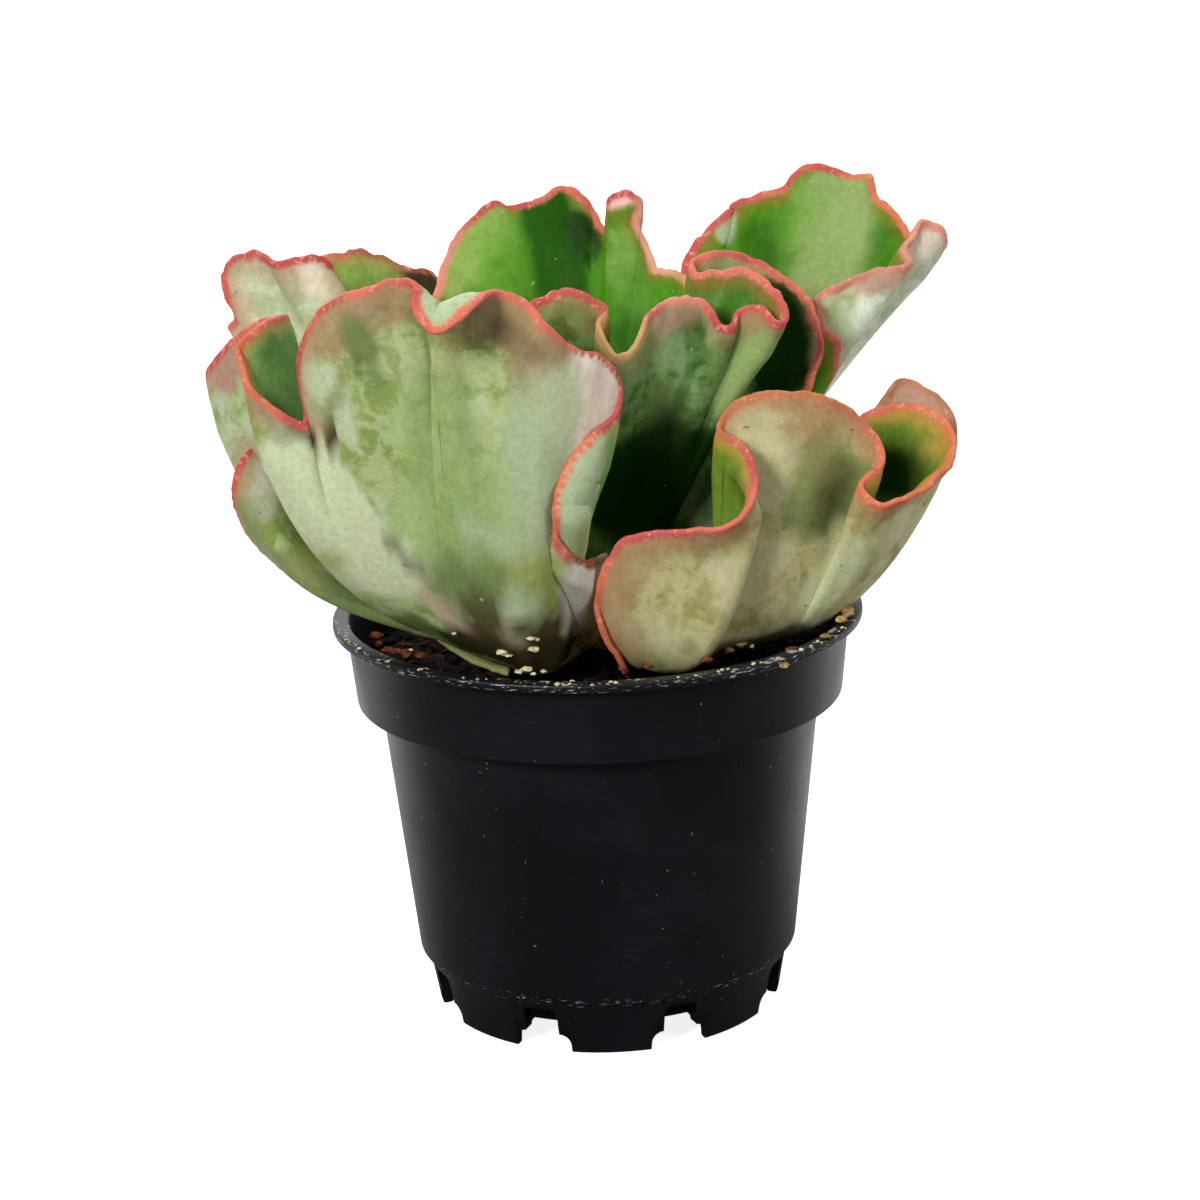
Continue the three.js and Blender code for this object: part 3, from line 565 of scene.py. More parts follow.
LEAVES = [
    plain_leaf("leaf_front_left", (-3.9, -4.3, 75.6), (2.3, -2.1, 0), None, 26, 11,
               FRONT_LEFT_MARGIN, 11, "front_left", 0.7, FRONT_LEFT_BELLY),
    plain_leaf("leaf_front_right", (4.5, -3.8, 75), (1.9, 2.3, 0), None, 26, 10,
               FRONT_RIGHT_MARGIN, 12, "front_right", 0.6, FRONT_RIGHT_BELLY),
    plain_leaf("leaf_front_middle", (0.5, -5.8, 80.6), (3.2, 0.3, 0), (0.58, 0.42), 22, 8,
               FRONT_MIDDLE_MARGIN, 13, "front_middle", 1.1),
    plain_leaf("leaf_back_middle", (-0.8, 5.8, 85), (-3, -0.4, 0), (0.58, 0.44), 20, 8,
               BACK_MIDDLE_MARGIN, 14, "back", 1.4),
    plain_leaf("leaf_back_right", (5.5, 2, 80.5), (-1, 3, 0), (0.56, 0.44), 24, 8,
               BACK_RIGHT_MARGIN, 15, "back", 1.3),
    plain_leaf("leaf_back_left", (-5.8, 1.2, 79.8), (-0.6, -2.7, 0), (0.6, 0.42), 22, 8,
               BACK_LEFT_MARGIN, 16, "back_pale", 1.7),
    oval_leaf("leaf_rear_right", math.radians(40), 75.2, 62, 19, 30, 0.6, REAR_KIND),
    oval_leaf("leaf_rear_left", math.radians(112), 75, 59, 19, 27, 2.0, REAR_KIND),
    oval_leaf("leaf_young_right", math.radians(345), 89, 15, 7, 26, 0.3, YOUNG_KIND),
    oval_leaf("leaf_young_back", math.radians(75), 91, 14, 6.5, 27, 1.3, YOUNG_KIND),
    oval_leaf("leaf_young_left", math.radians(195), 90, 16, 7.5, 26, 2.3, YOUNG_KIND),
]


# Materials

def linear(code):
    """A display colour such as "b5bf97" as the linear red, green, blue and alpha that shaders use."""
    channels = [int(code[k:k + 2], 16) / 255 for k in (0, 2, 4)]
    return tuple(c / 12.92 if c <= 0.04045 else ((c + 0.055) / 1.055) ** 2.4 for c in channels) + (1.0,)


class Nodes:
    """A node tree, with short calls for the nodes that the materials and the room share."""

    def __init__(self, tree):
        self.tree = tree

    def put(self, socket, source):
        """Links the socket where the source is another socket, and else sets it to that value."""
        if isinstance(source, bpy.types.NodeSocket):
            self.tree.links.new(source, socket)
        else:
            socket.default_value = source

    def new(self, kind):
        return self.tree.nodes.new("ShaderNode" + kind)

    def fed(self, node, inputs):
        """The outputs of a node after its inputs are put in place."""
        for key, source in inputs.items():
            self.put(node.inputs[key], source)
        return node.outputs

    def stored(self, name):
        """The outputs of an attribute that the mesh stores."""
        node = self.new("Attribute")
        node.attribute_name = name
        return node.outputs

    def math(self, operation, first, second):
        node = self.new("Math")
        node.operation = operation
        return self.fed(node, {0: first, 1: second})[0]

    def times(self, first, second):
        return self.math("MULTIPLY", first, second)

    def plus(self, first, second):
        return self.math("ADD", first, second)

    def shifted(self, source, cloud, amount):
        """The source, moved up or down by up to half the amount where a noise is high or low."""
        return self.plus(source, self.times(self.math("SUBTRACT", cloud, 0.5), amount))

    def step(self, source, low, high, start=0.0, end=1.0):
        """Goes smoothly from start to end while the source goes from low to high."""
        node = self.new("MapRange")
        node.interpolation_type = "SMOOTHSTEP"
        ends = {"From Min": low, "From Max": high, "To Min": start, "To Max": end}
        return self.fed(node, {"Value": source, **ends})["Result"]

    def fall(self, source, low, high, start=1.0):
        """Falls smoothly from start to nothing while the source goes from low to high."""
        return self.step(source, low, high, start, 0.0)

    def mix(self, share, first, second):
        node = self.new("Mix")
        node.data_type = "RGBA"
        return self.fed(node, {"Factor": share, "A": first, "B": second})["Result"]

    def scaled(self, color, share):
        node = self.new("VectorMath")
        node.operation = "SCALE"
        return self.fed(node, {0: color, "Scale": share})["Vector"]

    def place(self):
        return self.new("TexCoord").outputs["Object"]

    def axes(self, vector):
        return self.fed(self.new("SeparateXYZ"), {"Vector": vector})

    def joined(self, x, y, z=0.0):
        return self.fed(self.new("CombineXYZ"), {"X": x, "Y": y, "Z": z})["Vector"]

    def noise(self, vector, scale, detail, roughness, distortion=0.0):
        form = {"Scale": scale, "Detail": detail, "Roughness": roughness, "Distortion": distortion}
        return self.fed(self.new("TexNoise"), {"Vector": vector, **form})["Fac"]

    def show(self, lit, seen, output):
        """Shows one shader to the camera, while all other rays meet another."""
        ray = self.new("LightPath").outputs["Is Camera Ray"]
        mixed = self.fed(self.new("MixShader"), {"Fac": ray, 1: lit, 2: seen})
        self.put(self.tree.nodes[output].inputs["Surface"], mixed[0])


class Shader(Nodes):
    """The nodes of one material."""

    def __init__(self, name, roughness):
        self.material = bpy.data.materials.new(name)
        self.material.use_nodes = True
        super().__init__(self.material.node_tree)
        self.surface = self.tree.nodes["Principled BSDF"]
        self.dress({"Roughness": roughness})

    def dress(self, inputs):
        """Puts inputs of the surface shader in place."""
        self.fed(self.surface, inputs)

    def bump(self, height, strength, distance):
        relief = self.fed(self.new("Bump"), {"Strength": strength, "Distance": distance, "Height": height})
        self.put(self.surface.inputs["Normal"], relief["Normal"])


# Colours of each leaf's outer face, its inner face and the soft zone beside the margin, with the strength of
# that zone on the outer face and of the sparse specks; the inner face's second colour is painted shade deep
# in the rosette
LOOKS = {
    "front_left": {
        "outer": ("a6b57c", "84964e", "b9c4a2"), "inner": ("6f9c52", "34601f", "98ba80"),
        "blush_outer": "a67c5c", "blush_inner": "b09850", "blush": 0.75, "specks": 0.35,
    },
    "front_right": {
        "outer": ("b3ac7c", "989258", "bfba90"), "inner": ("64802a", "1b3a06", "96983e"),
        "blush_outer": "ae7c58", "blush_inner": "b98a3c", "blush": 0.75, "specks": 0.5,
    },
    "front_middle": {
        "outer": ("6a8a4c", "3f6324", "82996e"), "inner": ("3f7220", "144006", "84a85c"),
        "blush_outer": "a08258", "blush_inner": "84682c", "blush": 0.6, "specks": 0.2,
    },
    "back": {
        "outer": ("cfdac2", "b4c29e", "d8decc"), "inner": ("428010", "1c5004", "6c9a2a"),
        "blush_outer": "bb947c", "blush_inner": "86702a", "blush": 0.6, "specks": 0.2,
    },
    "back_pale": {
        "outer": ("c4ceac", "b0ba90", "cfcdb4"), "inner": ("748f3e", "4a6a22", "8fa450"),
        "blush_outer": "bd9a80", "blush_inner": "9c7c44", "blush": 0.7, "specks": 0.3,
    },
    "young": {
        "outer": ("94ad74", "6b8f4c", "aabf96"), "inner": ("6fa544", "2f7a1c", "a5c46c"),
        "blush_outer": "c09484", "blush_inner": "b09850", "blush": 0.7, "specks": 0.1,
    },
}
MARGIN_COLORS = ("cf705c", "b4524c", "de9079")
SPECK_COLOR = "4a3226"
SPARK_COLOR = "dfe0c8"
INNER_BLUSH = 0.8
MARGIN_SOLID = 0.5
MARGIN_FADE = 1.6

# Colours that single places on the leaves are painted with; some of them are painted shade and painted light
PAINTS = {
    "scar": "4b392a", "dirt": "4a4628", "mud": "37321c", "dust": "8a8468", "smoke": "6a6046",
    "olive": "6d7f4b", "moss": "828c54", "lime": "959d57", "sage": "8da363", "mint": "a6b58e",
    "cream": "c6d0a8", "bone": "d6d2c2", "bleached": "e2d2c0", "tan": "a0835f", "rose": "b08a76",
    "spring": "92ad58", "grass": "689a36", "forest": "225208", "night": "143405", "straw": "9fb478",
    "gold": "b0944c", "fern": "568a2e", "rust": "a8763e", "crimson": "ac4449", "coral": "d4705a",
    "orange": "cc7648", "salmon": "dc9c86", "pink": "e0b0a4", "honey": "c0a068", "umber": "6b4a2c",
}

# Painted places: a path of points on the leaf, a radius, the paint, its strength, and the face that it
# lies on (1 outer, -1 inner, 0 both)
PAINT_STROKES = {
    "leaf_front_left": [
        # broad tones: pale at the left and right, green down the middle, beige under the top margin
        ([(-54, -41, 119), (-47, -40, 106), (-40, -40, 98)], 7, "cream", 0.8, 1),
        ([(-62, -17, 113), (-62, -20, 108)], 3, "bone", 0.7, 1),
        ([(-8, -44, 130), (-10, -44, 118), (-10, -42, 108)], 7, "mint", 0.75, 1),
        ([(-28, -45, 131), (-26, -45, 118), (-21, -44, 104)], 8, "sage", 0.6, 1),
        ([(-34, -44, 112), (-32, -43, 102)], 4, "straw", 0.6, 1),
        ([(-46, -43, 144), (-40, -46, 150), (-34, -46, 150)], 5, "tan", 0.6, 1),
        ([(-26, -52, 146), (-17, -45, 147), (-7, -44, 140)], 5, "tan", 0.55, 1),
        ([(0, -38, 136), (2, -36, 129), (0, -37, 123)], 4.5, "bleached", 1, 1),
        ([(-5, -42, 133), (-5, -42, 127)], 4, "cream", 0.6, 1),
        # dark patches near the top
        ([(-41, -45, 145), (-38, -46, 138)], 2.6, "olive", 0.95, 1),
        ([(-45, -43, 134), (-48, -41, 130)], 2.5, "moss", 0.6, 1),
        ([(-15, -44, 144), (-10, -44, 140)], 2.4, "smoke", 0.45, 1),
        ([(-21, -44, 138), (-19, -44, 136)], 2, "moss", 0.5, 1),
        # pale ridge from the flap's inner corner to the base, which is a painted highlight, and the brown
        # crease beside it, a scar line darkened with painted shade
        ([(-50, -41, 121), (-45, -41, 116), (-40, -42, 107), (-35, -42, 102), (-29, -41, 94),
          (-25, -38, 87)], 2.6, "cream", 1, 1),
        ([(-37, -42, 105), (-30, -42, 97), (-24, -40, 89), (-19, -39, 84)], 1.4, "scar", 0.6, 1),
        ([(-32, -41, 95), (-26, -39, 88), (-22, -38, 85)], 2, "rose", 0.6, 1),
        # olive along the lower left edge
        ([(-64, -20, 107), (-63, -18, 101), (-57, -22, 95), (-50, -22, 91)], 3.2, "moss", 0.7, 1),
        ([(-48, -22, 90), (-39, -22, 85), (-34, -34, 87)], 3.5, "olive", 0.85, 1),
        ([(-33, -34, 86), (-26, -34, 83), (-19, -27, 77)], 2.6, "forest", 0.4, 1),
        ([(-55, -18, 98), (-48, -37, 101)], 2.5, "lime", 0.6, 1),
        # base: olive, dirt and dust, mud with painted shade where it meets the soil, and the bleached strip
        # under the rolled edge
        ([(-25, -44, 98), (-19, -44, 96), (-16, -42, 92)], 5.5, "olive", 0.9, 1),
        ([(-22, -43, 93), (-18, -43, 91)], 3, "dirt", 0.7, 1),
        ([(-12, -43, 99), (-9, -42, 98), (-8, -39, 93)], 3.6, "lime", 0.9, 1),
        ([(-22, -46, 107), (-16, -46, 106)], 3, "mint", 0.7, 1),
        ([(-7, -35, 92), (-6, -32, 88)], 2.4, "dirt", 0.8, 1),
        ([(-20, -41, 88), (-13, -42, 87), (-9, -36, 86)], 3.2, "dirt", 0.85, 1),
        ([(-25, -36, 84), (-17, -39, 82), (-12, -38, 81), (-7, -28, 79)], 4.2, "mud", 1, 1),
        ([(-15, -44, 93), (-12, -42, 92)], 2.6, "mint", 0.95, 1),
        ([(-17, -42, 88), (-14, -40, 85)], 1.4, "dust", 0.9, 1),
        ([(-3, -37, 98), (-2, -36, 93), (-2, -29, 86)], 4.2, "bone", 1, 1),
        ([(0, -33, 97), (1, -27, 90)], 4, "bone", 1, 1),
        # the flap: its inner corner with a scar, its shaded inside and its back
        ([(-54, -40, 127), (-50, -39, 124), (-46, -42, 125)], 1.4, "scar", 1, 1),
        ([(-52, -30, 128), (-49, -40, 127)], 1.6, "rose", 0.7, 1),
        ([(-58, -41, 131), (-55, -41, 126)], 2.3, "dust", 0.5, 1),
        ([(-57, -35, 140), (-55, -34, 132)], 3.6, "forest", 0.35, -1),
        # the pale insides of the notch and of the rolled right edge
        ([(-30, -50, 152), (-26, -54, 148), (-20, -50, 150)], 5, "mint", 0.85, -1),
        ([(-3, -39, 121), (-5, -42, 114), (-4, -43, 106), (-2, -38, 101)], 6, "mint", 0.9, -1),
        ([(-3, -42, 107), (-3, -40, 102)], 2, "lime", 0.7, -1),
        ([(-68, -18, 132), (-65, -19, 137)], 3.5, "rose", 0.75, 1),
    ],
    "leaf_front_right": [
        ([(8, -34, 99), (3, -34, 92), (3, -33, 87), (6, -32, 81)], 4.5, "tan", 0.55, 1),
        ([(21, -28, 76), (31, -17, 77), (37, -16, 79)], 3.6, "dirt", 0.85, 1),
        ([(12, -30, 77), (17, -32, 81)], 2.6, "moss", 0.5, 1),
        ([(48, -22, 95), (44, -20, 88), (41, -18, 86)], 4.5, "cream", 0.5, 1),
        ([(48, -19, 107), (42, -21, 112), (40, -22, 104)], 6, "moss", 0.75, 1),
        ([(45, -20, 109), (43, -20, 103)], 4, "dirt", 0.7, 1),
        ([(37, -23, 122), (46, -20, 121)], 3.6, "rust", 0.3, 1),
        ([(40, -22, 119)], 6, "tan", 0.3, 1),
        ([(20, -34, 102), (28, -32, 105)], 4, "tan", 0.4, 1),
        # inside the cup: painted shade at its left, and at its right gold that is partly the leaf's colour
        # beside the margin and partly painted light
        ([(57, -6, 108), (56, -3, 104)], 5.5, "night", 0.85, -1),
        ([(64, -6, 111), (63, -8, 108)], 3, "gold", 0.7, -1),
        ([(63, 12, 118), (66, 11, 116)], 3.6, "rose", 0.6, 0),
        ([(28, -32, 112), (25, -32, 107)], 2.6, "gold", 0.5, -1),
    ],
    "leaf_front_middle": [
        ([(20, -15, 138), (21, -16, 133)], 3, "forest", 0.55, 1),
        ([(11, -18, 135), (8, -20, 134)], 3.4, "moss", 0.6, 1),
        ([(18, -16, 141), (14, -17, 139)], 2.8, "rose", 0.5, 1),
        ([(32, -18, 134), (28, -16, 128), (26, -16, 123)], 3.6, "sage", 0.8, 1),
        ([(34, -16, 140), (30, -17, 139)], 2.6, "tan", 0.6, 1),
        ([(13, -15, 124), (14, -15, 118)], 4, "olive", 0.5, 1),
        ([(19, -16, 130), (17, -15, 124)], 1.3, "forest", 0.5, 1),
        ([(43, -3, 132), (42, -5, 123)], 2.4, "mint", 0.7, -1),
        # painted shade on the back of the right fold, and below it the painted shadow that the front-left
        # leaf casts over the lower blade
        ([(35, 0, 137), (36, 1, 129), (39, 0, 122)], 6.5, "night", 1),
        ([(6, -16, 112), (15, -14, 115), (22, -13, 113)], 6, "night", 0.8, 1),
        ([(6, -16, 103), (14, -14, 105), (21, -12, 104)], 8, "night", 0.88, 1),
        ([(2, -19, 140), (-3, -18, 141)], 3.4, "umber", 0.4, 1),
    ],
    "leaf_back_middle": [
        ([(-27, 31, 141), (-24, 34, 147), (-20, 37, 151)], 5, "spring", 0.6, -1),
        ([(-17, 35, 146), (-17, 32, 139)], 5, "grass", 0.5, -1),
        # dark green down the middle of the inner face, left of the notch: painted shade
        ([(-8, 40, 153), (-6, 36, 145), (-5, 33, 137)], 5, "forest", 0.9, -1),
        ([(-1, 38, 149), (1, 36, 145)], 3.2, "night", 0.65, -1),
        ([(7, 29, 147), (7, 28, 142)], 3.2, "spring", 0.45, -1),
        ([(9, 31, 157), (5, 31, 156)], 2.6, "pink", 0.9, -1),
        ([(8, 29, 141), (11, 27, 134)], 4, "fern", 0.6, -1),
        # dark green below the notch: painted shade
        ([(6, 24, 128), (12, 24, 127)], 5, "forest", 0.6, -1),
    ],
    "leaf_back_right": [
        # paler middle of the inner face: painted light
        ([(51, 38, 153), (51, 34, 146), (48, 31, 139), (46, 29, 133)], 7, "sage", 0.8, -1),
        ([(44, 38, 152), (41, 36, 147)], 4.5, "grass", 0.4, -1),
        # darker left part of the inner face: painted shade
        ([(35, 36, 146), (35, 34, 141)], 4.2, "forest", 0.5, -1),
        ([(29, 37, 150), (28, 36, 147)], 2, "mint", 0.6, -1),
        ([(61, 31, 145), (61, 30, 141)], 4, "forest", 0.4, -1),
        ([(49, 8, 138), (48, 7, 131)], 3.6, "straw", 0.5, 1),
        ([(61, 9, 143), (55, 8, 141)], 2.8, "rose", 0.6, 1),
        ([(68, 17, 147), (65, 14, 143)], 3.6, "bleached", 0.6, 1),
    ],
    "leaf_back_left": [
        ([(-67, 7, 148), (-62, 7, 149)], 2.8, "moss", 0.35, 1),
        ([(-57, 5, 148), (-57, 6, 144)], 2.6, "tan", 0.5, 1),
        ([(-53, 6, 147), (-51, 5, 142)], 2.6, "bleached", 0.5, 1),
        ([(-47, 27, 144), (-41, 30, 144)], 3, "spring", 0.35, -1),
        # dark place on the inner face near its right end: painted shade
        ([(-32, 36, 140), (-30, 36, 137)], 5.5, "mud", 0.9, -1),
    ],
}

# Colour and strength of the margin where it isn't the common coral: the same, without the face
RIM_STROKES = {
    "leaf_front_left": [
        ([(-17.5, -27, 74.5), (-31.5, -19.5, 79.5), (-39, -16.5, 82.5), (-47, -14, 86)], 5, "moss", 1),
        ([(-55, -14, 90), (-66.5, -15, 102.5)], 4, "orange", 0.6),
        ([(-67.5, -19, 108), (-64, -8, 122)], 5, "crimson", 0.5),
        ([(-71.5, -14, 131.5), (-66, -20, 139)], 6, "crimson", 0.4),
        ([(-59.5, -41, 133), (-62.5, -38, 142)], 5, "orange", 0.5),
        ([(-26, -56, 146)], 6, "coral", 0.5),
        ([(-3, -39.5, 100.5), (-1, -35, 98.5), (2, -30, 98.5)], 3, "umber", 0.7),
        ([(1.5, -29, 95), (0.5, -24, 86)], 4.5, "bone", 1),
        ([(-7.5, -42, 112), (-5, -41, 118)], 6, "orange", 0.4),
    ],
    "leaf_front_right": [
        ([(5, -28, 74.5), (1.5, -33, 83), (1, -35, 96)], 8, "orange", 0.5),
        ([(5, -35, 102.5), (12, -35, 104)], 4, "crimson", 0.6),
        ([(25, -23, 124), (45, -21, 124.5)], 8, "rust", 0.6),
        ([(53, -26, 105.5), (69, -11, 111), (69, -4, 115)], 9, "orange", 0.6),
        ([(58, 11, 117.5), (71, 9, 112)], 5, "tan", 0.7),
        ([(65.5, 8, 99), (53.5, -2, 85.5)], 7, "rose", 0.6),
    ],
    "leaf_front_middle": [
        ([(-11.5, -19, 142.5), (3.5, -17, 142)], 6, "crimson", 0.6),
        ([(3, -21, 137), (8.5, -21, 136)], 5, "honey", 0.9),
        ([(18, -15, 143.5)], 5, "salmon", 0.6),
        ([(26.5, -18, 138.5), (35, -19, 140)], 7, "crimson", 0.6),
    ],
    "leaf_back_middle": [
        ([(24, 23, 136), (14.5, 28, 142)], 6, "honey", 0.8),
        ([(12.5, 31, 152), (12, 30, 146), (14, 28, 143)], 4, "salmon", 0.8),
        ([(6.5, 32, 156.5)], 5, "crimson", 0.55),
        ([(-27.5, 34, 145.5), (-32, 24, 130)], 6, "salmon", 0.5),
    ],
    "leaf_back_right": [
        ([(71, 22, 146), (64, 15, 148.5)], 5, "salmon", 0.7),
        ([(45, 8, 137), (61, 10, 144)], 5, "rose", 0.6),
        ([(19, 34, 140), (28, 38, 151)], 7, "crimson", 0.6),
        ([(58, 39, 157), (62, 35, 151)], 5, "orange", 0.5),
    ],
    "leaf_back_left": [
        ([(-70, 8, 149), (-51, 9, 148.5)], 7, "crimson", 0.65),
        ([(-49.5, 9, 141), (-49, 10, 144.5)], 4, "crimson", 0.5),
        ([(-30, 38, 139.5), (-42.5, 33, 145.5)], 9, "umber", 0.55),
    ],
}


def path_distance(points, path):
    """Distance of each point to a path of straight pieces, or to the path's only point."""
    path = np.array(path, float)
    if len(path) == 1:
        return np.linalg.norm(points - path[0], axis=1)
    nearest = np.full(len(points), np.inf)
    for start, end in zip(path[:-1], path[1:]):
        run = end - start
        share = np.clip((points - start) @ run / (run @ run), 0, 1)
        nearest = np.minimum(nearest, np.linalg.norm(points - start - share[:, None] * run, axis=1))
    return nearest


def stroked(points, side, strokes):
    """Red, green, blue and cover of the strokes, each painted over the ones before it."""
    color = np.zeros((len(points), 3))
    cover = np.zeros(len(points))
    for path, radius, paint, strength, *face in strokes:
        weight = strength * (1 - smooth_step(path_distance(points, path) / radius, 0.5, 1.6))
        if face and face[0]:
            weight = weight * smooth_step(side * face[0], -0.4, 0.4)
        total = weight + cover * (1 - weight)
        share = weight / np.maximum(total, 1e-6)
        color += (np.array(linear(PAINTS[paint])[:3]) - color) * share[:, None]
        cover = total
    return np.column_stack([color, cover])


def leaf_noises(shader):
    """Noises over a leaf, from broad patches to fine grain, and streaks that run up its blade."""
    place = shader.place()
    across = shader.times(shader.stored("across")["Fac"], 0.12)
    along = shader.times(shader.stored("along")["Fac"], 0.03)
    return {
        "streaks": shader.noise(shader.joined(across, along), 1.4, 5, 0.6, 0.6),
        "patches": shader.noise(place, 55, 4, 0.55, 0.5),
        "mottle": shader.noise(place, 190, 5, 0.6, 0.4),
        "specks": shader.noise(place, 420, 2, 0.5),
        "sparks": shader.noise(place, 610, 2, 0.5),
        "grain": shader.noise(place, 800, 3, 0.6),
        "fine": shader.noise(place, 2300, 2, 0.6),
    }


def face_color(shader, look, edge, noises):
    """The outer and the inner face, each mottled and streaked, with its soft zone beside the margin, and
    painted shade that darkens the inner face away from its margin.
    """
    patches, mottle, streaks = noises["patches"], noises["mottle"], noises["streaks"]
    pale, olive, grey = map(linear, look["outer"])
    outer = shader.mix(shader.step(mottle, 0.44, 0.58), pale, olive)
    outer = shader.mix(shader.step(patches, 0.47, 0.58, 0.0, 0.8), outer, grey)
    outer = shader.mix(shader.step(streaks, 0.5, 0.7, 0.0, 0.35), outer, grey)

    fresh, deep_shade, light = map(linear, look["inner"])
    # painted shade: the inner face darkens from 6 to 36 mm away from its margin, deep in the rosette
    inner = shader.mix(shader.step(edge, 6, 36), fresh, deep_shade)
    inner = shader.mix(shader.step(streaks, 0.5, 0.72, 0.0, 0.5), inner, light)
    inner = shader.mix(shader.step(mottle, 0.45, 0.7, 0.0, 0.3), inner, light)

    uneven_edge = shader.shifted(edge, patches, 6.0)
    outer = shader.mix(shader.fall(uneven_edge, 0.8, 6.0, look["blush"]), outer, linear(look["blush_outer"]))
    inner = shader.mix(shader.fall(uneven_edge, 0.8, 4.5, INNER_BLUSH), inner, linear(look["blush_inner"]))
    return shader.mix(shader.step(shader.stored("side")["Fac"], -0.3, 0.3), inner, outer)


def painted_color(shader, face, noises):
    """The face with its painted places, whose borders are ragged, and a fine grain over both."""
    paint = shader.stored("paint")
    ragged = shader.step(shader.shifted(paint["Alpha"], noises["mottle"], 0.7), 0.12, 0.8)
    painted = shader.times(ragged, shader.step(paint["Alpha"], 0.03, 0.2))
    face = shader.mix(painted, face, paint["Color"])
    face = shader.scaled(face, shader.step(noises["grain"], 0.3, 0.7, 1.07, 0.92))
    return shader.scaled(face, shader.step(noises["fine"], 0.3, 0.7, 0.95, 1.05))


def margin_color(shader, noises):
    """Coral with crimson patches, the painted stretches over both, and small spots over all."""
    coral, crimson, salmon = map(linear, MARGIN_COLORS)
    rim = shader.stored("rim")
    margin = shader.mix(shader.step(noises["patches"], 0.45, 0.62), coral, crimson)
    margin = shader.mix(rim["Alpha"], margin, rim["Color"])
    margin = shader.mix(shader.step(noises["grain"], 0.54, 0.68, 0.0, 0.8), margin, salmon)
    return shader.mix(shader.step(noises["mottle"], 0.6, 0.7, 0.0, 0.6), margin, crimson)


def leaf_material(name, look):
    shader = Shader(name, 0.5)
    edge = shader.stored("edge")["Fac"]
    noises = leaf_noises(shader)
    face = painted_color(shader, face_color(shader, look, edge, noises), noises)
    margin_share = shader.fall(shader.shifted(edge, noises["mottle"], 2.2), MARGIN_SOLID, MARGIN_FADE)
    color = shader.mix(margin_share, face, margin_color(shader, noises))
    specks = shader.step(noises["specks"], 0.74, 0.765, 0.0, look["specks"])
    sparks = shader.step(noises["sparks"], 0.745, 0.77, 0.0, 0.3)
    color = shader.mix(specks, color, linear(SPECK_COLOR))
    color = shader.mix(sparks, color, linear(SPARK_COLOR))
    shader.dress({
        "Base Color": color, "Roughness": shader.step(noises["patches"], 0.3, 0.7, 0.45, 0.62),
        "Specular IOR Level": 0.06, "Subsurface Weight": 0.1, "Subsurface Radius": (0.6, 1.0, 0.25),
        "Subsurface Scale": 1 * MM,
    })
    relief = shader.plus(noises["grain"], shader.times(noises["fine"], 0.5))
    shader.bump(shader.plus(relief, shader.times(noises["mottle"], 1.5)), 0.3, 0.3 * MM)
    return shader.material


def make_leaf(leaf, materials):
    points, faces, values = blade_mesh(leaf)
    piece = new_object("fine_" + leaf["name"], points, faces)
    values["paint"] = stroked(points, values["side"], PAINT_STROKES.get(leaf["name"], []))
    values["rim"] = stroked(points, values["side"], RIM_STROKES.get(leaf["name"], []))
    for name, numbers in values.items():
        store(piece, name, numbers)
    piece.data.materials.append(materials[leaf["look"]])
    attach(piece, "root")
    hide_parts(leaf["name"])


# Pot

BODY_LOW = (BODY_RADIUS_BOTTOM, STEP_HEIGHT)
BODY_HIGH = (BODY_RADIUS_TOP, BAND_BOTTOM)
BAND_LOW = (BAND_RADIUS_BOTTOM, BAND_BOTTOM)
BAND_HIGH = (BAND_RADIUS_TOP, LIP_BOTTOM)
LEDGE_TOP = BAND_BOTTOM + WALL


def slope_radius(low, high, height):
    """Radius at one height of a cone through two points [radius, height]."""
    return low[0] + (high[0] - low[0]) * (height - low[1]) / (high[1] - low[1])


def pot_material():
    """Black plastic, worn to grey on the top of its lip and along the step above its foot."""
    shader = Shader("pot_plastic", 0.4)
    place = shader.place()
    axes = shader.axes(place)
    height = axes["Z"]
    cloud = shader.noise(place, 30, 4, 0.6)
    dust = shader.noise(place, 900, 2, 0.6)
    fine = shader.noise(place, 3000, 2, 0.5)
    flat_place = shader.joined(axes["X"], axes["Y"], shader.times(height, 6.0))
    scratch = shader.noise(flat_place, 160, 5, 0.7, 0.5)
    crumbs = shader.noise(flat_place, 520, 3, 0.6, 0.4)
    lip = shader.step(height, (POT_HEIGHT - 2.5) * MM, (POT_HEIGHT - 0.5) * MM)
    above = shader.step(height, (STEP_HEIGHT - 1.6) * MM, (STEP_HEIGHT - 0.6) * MM)
    below = shader.fall(height, (STEP_HEIGHT + 0.6) * MM, (STEP_HEIGHT + 1.4) * MM)
    edges = shader.math("MAXIMUM", lip, shader.times(above, below))
    streaked = shader.times(shader.step(scratch, 0.56, 0.7), shader.step(cloud, 0.5, 0.65, 0.0, 0.07))
    worn = shader.times(edges, shader.step(crumbs, 0.6, 0.64, 0.0, 0.85))
    color = shader.mix(shader.step(cloud, 0.35, 0.7), linear("0b0c10"), linear("131419"))
    color = shader.mix(streaked, color, linear("6a6b70"))
    color = shader.mix(worn, color, linear("a3a4a8"))
    color = shader.mix(shader.step(dust, 0.73, 0.78, 0.0, 0.55), color, linear("b9b6ad"))
    roughness = shader.step(cloud, 0.3, 0.7, 0.34, 0.46)
    shader.dress({"Base Color": color, "Roughness": roughness, "Specular IOR Level": 0.2})
    shader.bump(shader.plus(fine, shader.times(cloud, 3.0)), 0.08, 0.3 * MM)
    return shader.material


